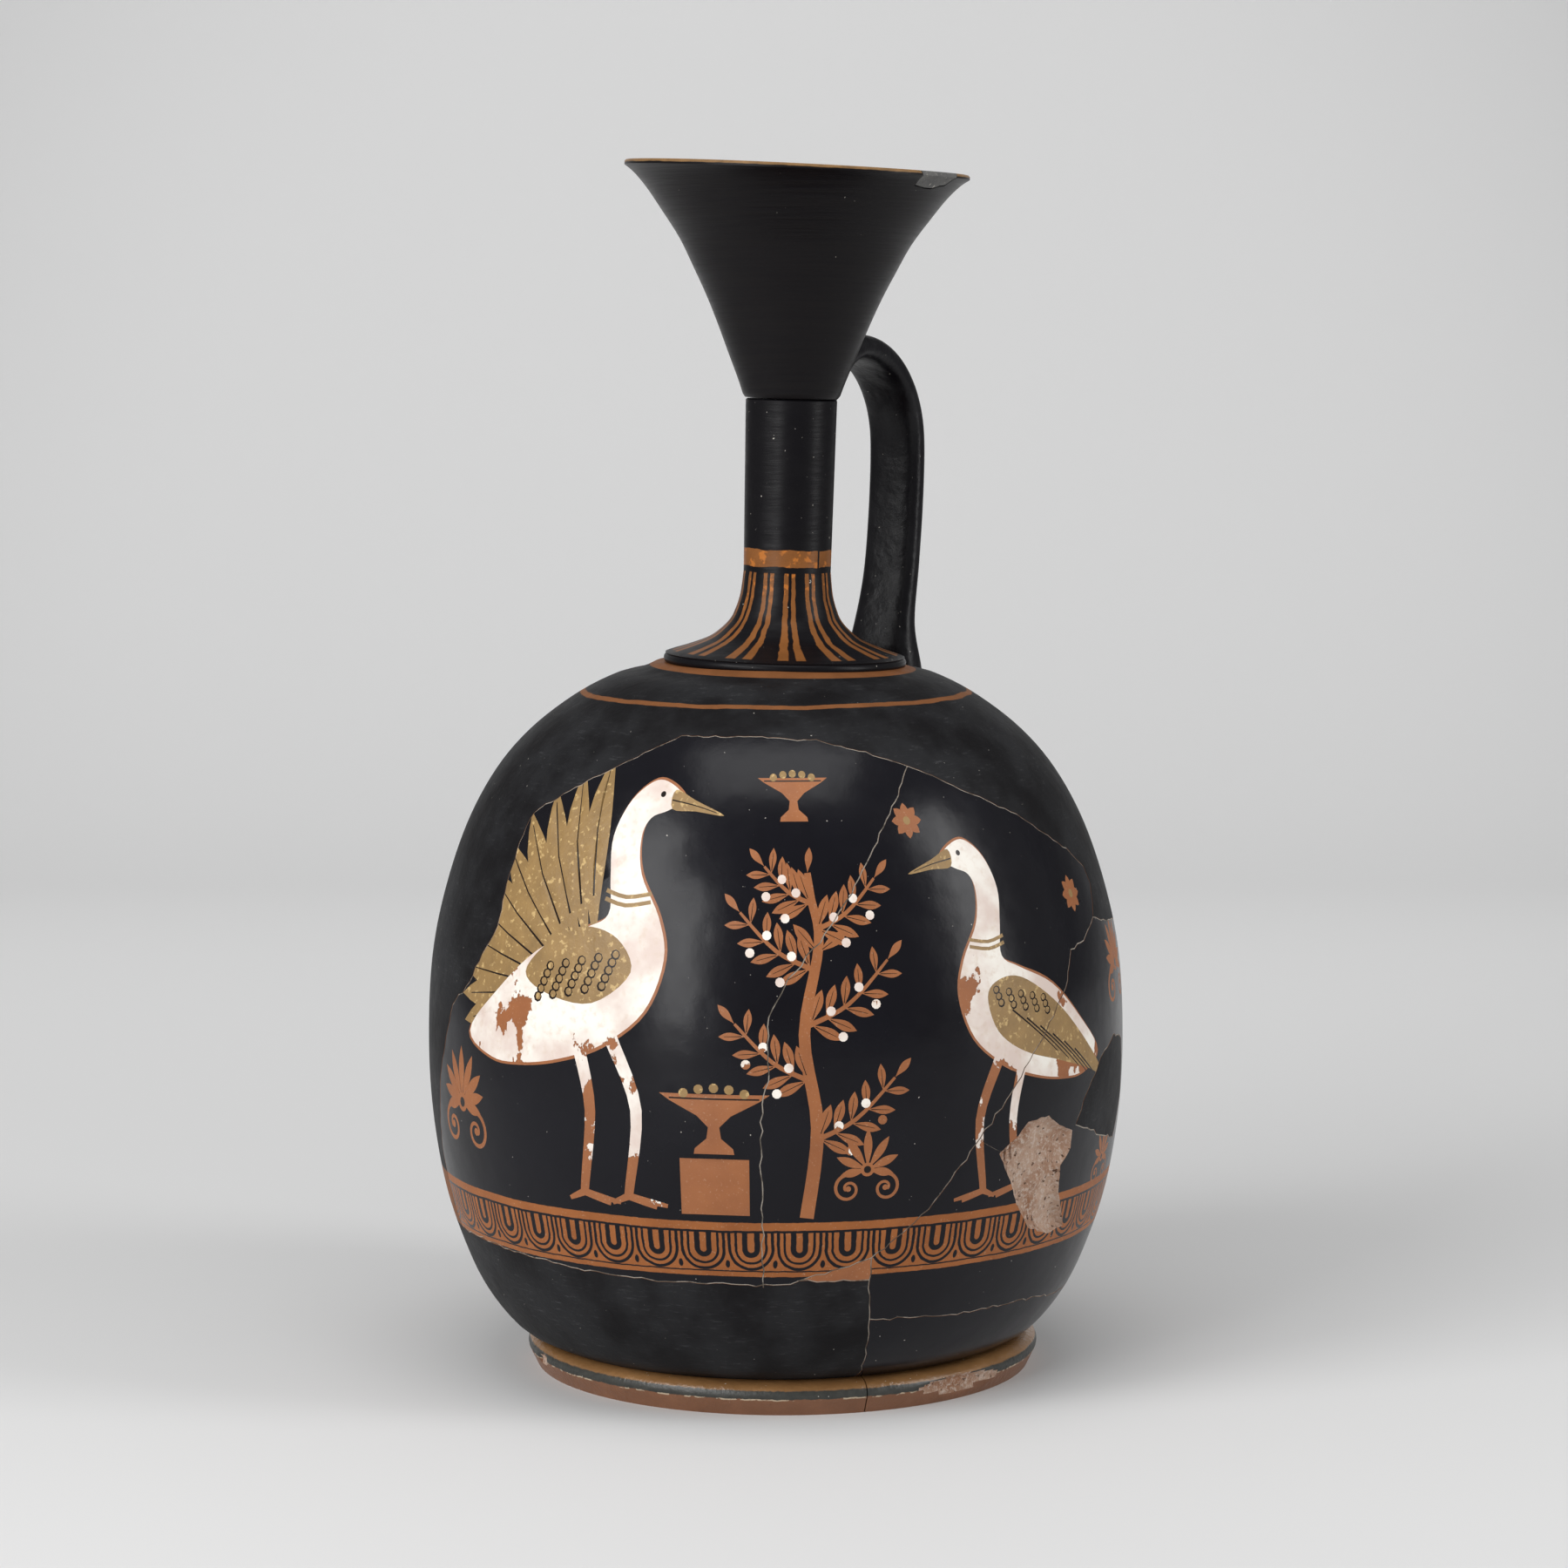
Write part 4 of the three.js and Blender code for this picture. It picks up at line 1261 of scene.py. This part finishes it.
class OILJAR_OT_neck(bpy.types.Operator):
    """Model the neck with its flared collar"""

    bl_idname = "oiljar.neck"
    bl_label = "Neck"

    # The flare over the collar's edge: share of its height, share of its spread
    FLARE = (
        (0, 0.99), (0.03, 0.9), (0.09, 0.7), (0.19, 0.43), (0.3, 0.27), (0.41, 0.16), (0.52, 0.1),
        (0.72, 0.035), (1, 0),
    )

    def execute(self, context):
        bore = sizes_in_millimetres(context).bore_radius
        flare_foot, flare_height = 1.7, 21
        flare = smooth_line([
            (NECK_RADIUS + spread * (COLLAR_RADIUS - NECK_RADIUS),
             flare_foot + height * flare_height)
            for height, spread in self.FLARE
        ], 5)
        edge = [
            (COLLAR_RADIUS - 0.85 + 0.85 * math.cos(turn), 0.42 + 1.1 * math.sin(turn))
            for turn in (-1.4, -0.9, -0.4, 0.1, 0.5, 0.9, 1.2)
        ]
        base, top = -0.7, NECK_HEIGHT - 0.3
        outline = [
            (bore, base), (COLLAR_RADIUS - 1.2, base), *edge, *[tuple(p) for p in flare[1:]],
            (NECK_RADIUS + 0.25, 44), (NECK_RADIUS + 0.5, top - 0.3), (NECK_RADIUS + 0.2, top),
            (bore, top),
        ]
        piece = turned("jar_neck", outline, 128)
        piece.data.transform(NECK_PLACE)
        piece.data.materials.append(material("neck"))
        settle(piece, "black_gloss", "neck")
        return {"FINISHED"}


class OILJAR_OT_mouth(bpy.types.Operator):
    """Model the trumpet mouth and the plaster fill in its lip"""

    bl_idname = "oiljar.mouth"
    bl_label = "Mouth"

    # The trumpet's flare: share of its height, share of its spread
    FLARE = (
        (0, 0), (0.08, 0.052), (0.2, 0.14), (0.32, 0.227), (0.44, 0.322), (0.56, 0.431),
        (0.68, 0.546), (0.8, 0.699), (0.89, 0.822), (0.95, 0.925), (0.98, 1),
    )
    # The break in the lip: angle and share of the mouth's height
    BREAK = (
        (43, 1.04), (46, 0.935), (51, 0.927), (56, 0.925), (60, 0.938), (64, 0.945), (67, 1.04),
    )

    def execute(self, context):
        sizes = sizes_in_millimetres(context)
        outline = self.outline(sizes)
        half_gap = sizes.joint_gap / 2
        for name, operation, gap, finish, slot in (
            ("mouth", "DIFFERENCE", half_gap, "mouth", "black_gloss"),
            ("rim_fill", "INTERSECT", -half_gap, "plaster", "plaster_fill"),
        ):
            piece = turned("jar_" + name, outline, 160)
            cutter = self.wedge(sizes, gap)
            cut = piece.modifiers.new("break", "BOOLEAN")
            cut.operation = operation
            cut.object = cutter
            cut.solver = "EXACT"
            apply_modifiers(piece)
            bpy.data.objects.remove(cutter)
            piece.data.materials.clear()
            piece.data.materials.append(material(finish))
            for vertex in piece.data.vertices:
                share = max(vertex.co.z / (sizes.mouth_height * MM), 0)
                vertex.co.z -= math.tan(LIP_TILT) * vertex.co.x * share ** 3
            piece.data.transform(NECK_PLACE @ Matrix.Translation((0, 0, NECK_HEIGHT * MM)))
            pick(piece)
            bpy.ops.object.shade_smooth_by_angle(angle=SMOOTH_UNDER)
            settle(piece, slot, name)
        return {"FINISHED"}

    def outline(self, sizes):
        """The mouth's closed outline: up the outside, over the flat lip and down the inside."""
        top, radius, bore = sizes.mouth_height, sizes.mouth_radius, sizes.bore_radius
        rounding = 0.35
        outer = smooth_line([
            (MOUTH_BASE_RADIUS + spread * (radius - MOUTH_BASE_RADIUS), height * top)
            for height, spread in self.FLARE
        ], 4)
        lip = radius - sizes.lip_width
        inner = [
            tuple(p) for p in offset_line(outer, sizes.lip_width)
            if bore < p.x < lip and p.y < top - 1.1
        ]
        return [
            (bore, 0), (MOUTH_BASE_RADIUS - 0.3, 0), *[tuple(p) for p in outer[1:]],
            (radius, top - rounding), (radius - rounding, top), (lip + 0.3, top), (lip, top - 0.3),
            *reversed(inner),
        ]

    def wedge(self, sizes, gap):
        """The lost part of the lip, grown or shrunk by half a joint."""
        turn = math.degrees(gap / sizes.mouth_radius)
        shifts = (-turn, -turn, 0, 0, 0, turn, turn)
        edge = [(angle + shift, share) for (angle, share), shift in zip(self.BREAK, shifts)]
        points = []
        for radius in (sizes.mouth_radius * 0.6, sizes.mouth_radius * 1.2):
            for angle, share in edge:
                turn = math.radians(angle)
                height = share * sizes.mouth_height - (gap if share < 1 else 0)
                points.append((
                    radius * math.sin(turn) * MM, -radius * math.cos(turn) * MM, height * MM,
                ))
        count = len(edge)
        faces = [tuple(range(count)), tuple(range(2 * count - 1, count - 1, -1))]
        faces += [(i, i + count, (i + 1) % count + count, (i + 1) % count) for i in range(count)]
        cutter = new_object("lip_wedge", points, faces)
        face_outwards()
        return cutter


class OILJAR_OT_handle(bpy.types.Operator):
    """Model the strap handle from the neck to the shoulder"""

    bl_idname = "oiljar.handle"
    bl_label = "Handle"

    ARCH = 26
    CREST = BODY_TOP + NECK_HEIGHT + 12.9
    FOOT_HEIGHT = 171
    CORNERS = 12
    LEAN = 6.6
    WIDENING = 6.5
    # Makes up for what the subdivision takes off the width and the thickness
    ROUNDING_GAIN = (1.02, 1.06)
    # On the way down: share of the drop, and how far the strap leans in, widens and thickens
    DROP = (
        (0.23, 0.1, 0, 0), (0.43, 0.3, 0, 0), (0.58, 0.5, 0.03, 0), (0.71, 0.82, 0.12, 0.08),
        (0.8, 1, 0.3, 0.2), (0.88, 1.05, 0.6, 0.45), (0.96, 1, 0.85, 0.7), (1.07, 1, 1, 0.9),
    )

    def execute(self, context):
        points, faces = [], []
        stations = self.stations(sizes_in_millimetres(context))
        for station in stations:
            points.extend(self.section(*station))
        count = self.CORNERS
        for i in range(0, len(points) - count, count):
            for k in range(count):
                m = (k + 1) % count
                faces.append((i + k, i + m, i + count + m, i + count + k))
        faces.append(tuple(range(count - 1, -1, -1)))
        faces.append(tuple(range(len(points) - count, len(points))))
        piece = new_object("jar_handle", points, faces)
        face_outwards()
        rounder = piece.modifiers.new("rounding", "SUBSURF")
        rounder.levels = rounder.render_levels = 3
        apply_modifiers(piece)
        bpy.ops.object.shade_smooth()
        piece.data.materials.append(material("handle"))
        settle(piece, "black_gloss", "handle")
        return {"FINISHED"}

    def stations(self, sizes):
        """The strap's way: distance from the neck's axis, height, slope, width and thickness."""
        width, thickness = sizes.strap_width, sizes.strap_thickness
        stations = [
            (9.2, self.CREST - 9.6, 12, width, 18), (13, self.CREST - 8.4, 20, width, 14),
            (18.4, self.CREST - 2.6, 22, width, 8),
        ]
        middle = self.CREST - self.ARCH
        for turn in range(90, -1, -15):
            stations.append((
                sizes.handle_reach - self.ARCH + self.ARCH * math.cos(math.radians(turn)),
                middle + self.ARCH * math.sin(math.radians(turn)), turn - 90, width, thickness,
            ))
        for share, inwards, widening, growth in self.DROP:
            stations.append((
                sizes.handle_reach - self.LEAN * inwards,
                middle - (middle - self.FOOT_HEIGHT) * share, -90,
                width + self.WIDENING * widening, thickness * (1 + growth),
            ))
        return stations

    def section(self, out, height, slope, width, thickness):
        """The corners of one cross-section, a flat oval."""
        away = Vector((math.sin(HANDLE_ANGLE), -math.cos(HANDLE_ANGLE), 0))
        across = Vector((math.cos(HANDLE_ANGLE), math.sin(HANDLE_ANGLE), 0))
        upright = Vector((0, 0, math.cos(math.radians(slope))))
        lift = upright - away * math.sin(math.radians(slope))
        centre = away * out + Vector((NECK_SHIFT, 0, height))
        wider, thicker = self.ROUNDING_GAIN
        corners = []
        for k in range(self.CORNERS):
            turn = 2 * math.pi * (k + 0.5) / self.CORNERS
            x = math.copysign(abs(math.cos(turn)) ** 0.55, math.cos(turn)) * width / 2 * wider
            y = math.copysign(abs(math.sin(turn)) ** 0.75, math.sin(turn)) * thickness / 2 * thicker
            corners.append((centre + across * x + lift * y) * MM)
        return corners


class OILJAR_OT_stage(bpy.types.Operator):
    """Set up the pale floor, the backdrop, the soft lights and the camera"""

    bl_idname = "oiljar.stage"
    bl_label = "Stage"

    def execute(self, context):
        scene = context.scene
        self.sweep()
        for name, place, size, power in SOFTBOXES:
            self.lamp(name, place, size, power)
        scene.world = scene.world or bpy.data.worlds.new("studio")
        scene.world.use_nodes = True
        background = scene.world.node_tree.nodes["Background"]
        background.inputs["Color"].default_value = (0.8, 0.8, 0.8, 1)
        background.inputs["Strength"].default_value = 0.4
        scene.view_settings.view_transform = "Standard"
        camera = bpy.data.cameras.new("camera")
        camera.sensor_width = 36
        camera.lens = CAMERA_LENS
        holder = bpy.data.objects.new("camera", camera)
        scene.collection.objects.link(holder)
        holder.location = CAMERA_PLACE
        holder.rotation_euler = (math.pi / 2 - CAMERA_DIP, 0, 0)
        scene.camera = holder
        return {"FINISHED"}

    @staticmethod
    def sweep():
        """A floor that curves up into a backdrop behind the jar, greyed by painted shade away from
        a bright middle behind the jar.
        """
        front, bend, curve, top, half_width = -3.0, 0.9, 0.8, 3.5, 4
        turns = [math.radians(6 * i) for i in range(1, 16)]
        profile = [(front, 0), (bend, 0)]
        profile += [(bend + curve * math.sin(t), curve - curve * math.cos(t)) for t in turns]
        profile.append((bend + curve, top))
        points = [(x, y, z) for x in (-half_width, half_width) for y, z in profile]
        count = len(profile)
        faces = [(i, i + count, i + 1 + count, i + 1) for i in range(count - 1)]
        piece = new_object("studio_sweep", points, faces)
        bpy.ops.object.shade_smooth()
        pen = Pen("studio_paper_painted_shade", 0.9)
        across = pen.x * MM
        up = pen.height * MM - 0.15
        # Painted shade: the paper darkens to mid grey further to the sides and up the backdrop,
        # away from a bright middle
        painted_shade_reach = pen.math("SQRT", across * across + up * up * 0.9)
        near = pen.mix(pen.step(pen.y, 450, 400), (0.68, 0.68, 0.68, 1), (0.98, 0.98, 0.98, 1))
        pen.set("Base Color", pen.mix(pen.step(painted_shade_reach, 0.8, 0.5), near, (0.44, 0.44, 0.44, 1)))
        piece.data.materials.append(pen.material)

    @staticmethod
    def lamp(name, place, size, power):
        light = bpy.data.lights.new(name, "AREA")
        light.shape = "RECTANGLE"
        light.size, light.size_y = size
        light.energy = power
        holder = bpy.data.objects.new(name, light)
        bpy.context.scene.collection.objects.link(holder)
        holder.location = place
        aim = LAMP_AIM - Vector(place)
        holder.rotation_euler = aim.to_track_quat("-Z", "Y").to_euler()


class OILJAR_PT_panel(bpy.types.Panel):
    """Lists the jar's pieces and sizes"""

    bl_idname = "OILJAR_PT_panel"
    bl_label = "Oil Jar"
    bl_space_type = "VIEW_3D"
    bl_region_type = "UI"
    bl_category = "Oil Jar"

    def draw(self, context):
        for settings in (context.scene.oil_jar_sizes, context.scene.oil_jar_colours):
            for name in setting_names(settings):
                self.layout.prop(settings, name)
        for operator in OPERATORS:
            self.layout.operator(operator.bl_idname)


OPERATORS = (
    OILJAR_OT_wall, OILJAR_OT_foot, OILJAR_OT_floor, OILJAR_OT_neck, OILJAR_OT_mouth,
    OILJAR_OT_handle, OILJAR_OT_stage,
)
CLASSES = (OilJarSizes, OilJarColours, *OPERATORS, OILJAR_PT_panel)


def register():
    for cls in CLASSES:
        bpy.utils.register_class(cls)
    bpy.types.Scene.oil_jar_sizes = bpy.props.PointerProperty(type=OilJarSizes)
    bpy.types.Scene.oil_jar_colours = bpy.props.PointerProperty(type=OilJarColours)


def unregister():
    del bpy.types.Scene.oil_jar_colours
    del bpy.types.Scene.oil_jar_sizes
    for cls in reversed(CLASSES):
        bpy.utils.unregister_class(cls)


def main():
    register()
    deselect_all()
    bpy.ops.oiljar.wall()
    bpy.ops.oiljar.foot()
    bpy.ops.oiljar.floor()
    bpy.ops.oiljar.neck()
    bpy.ops.oiljar.mouth()
    bpy.ops.oiljar.handle()
    bpy.ops.oiljar.stage()


if __name__ == "__main__":
    main()
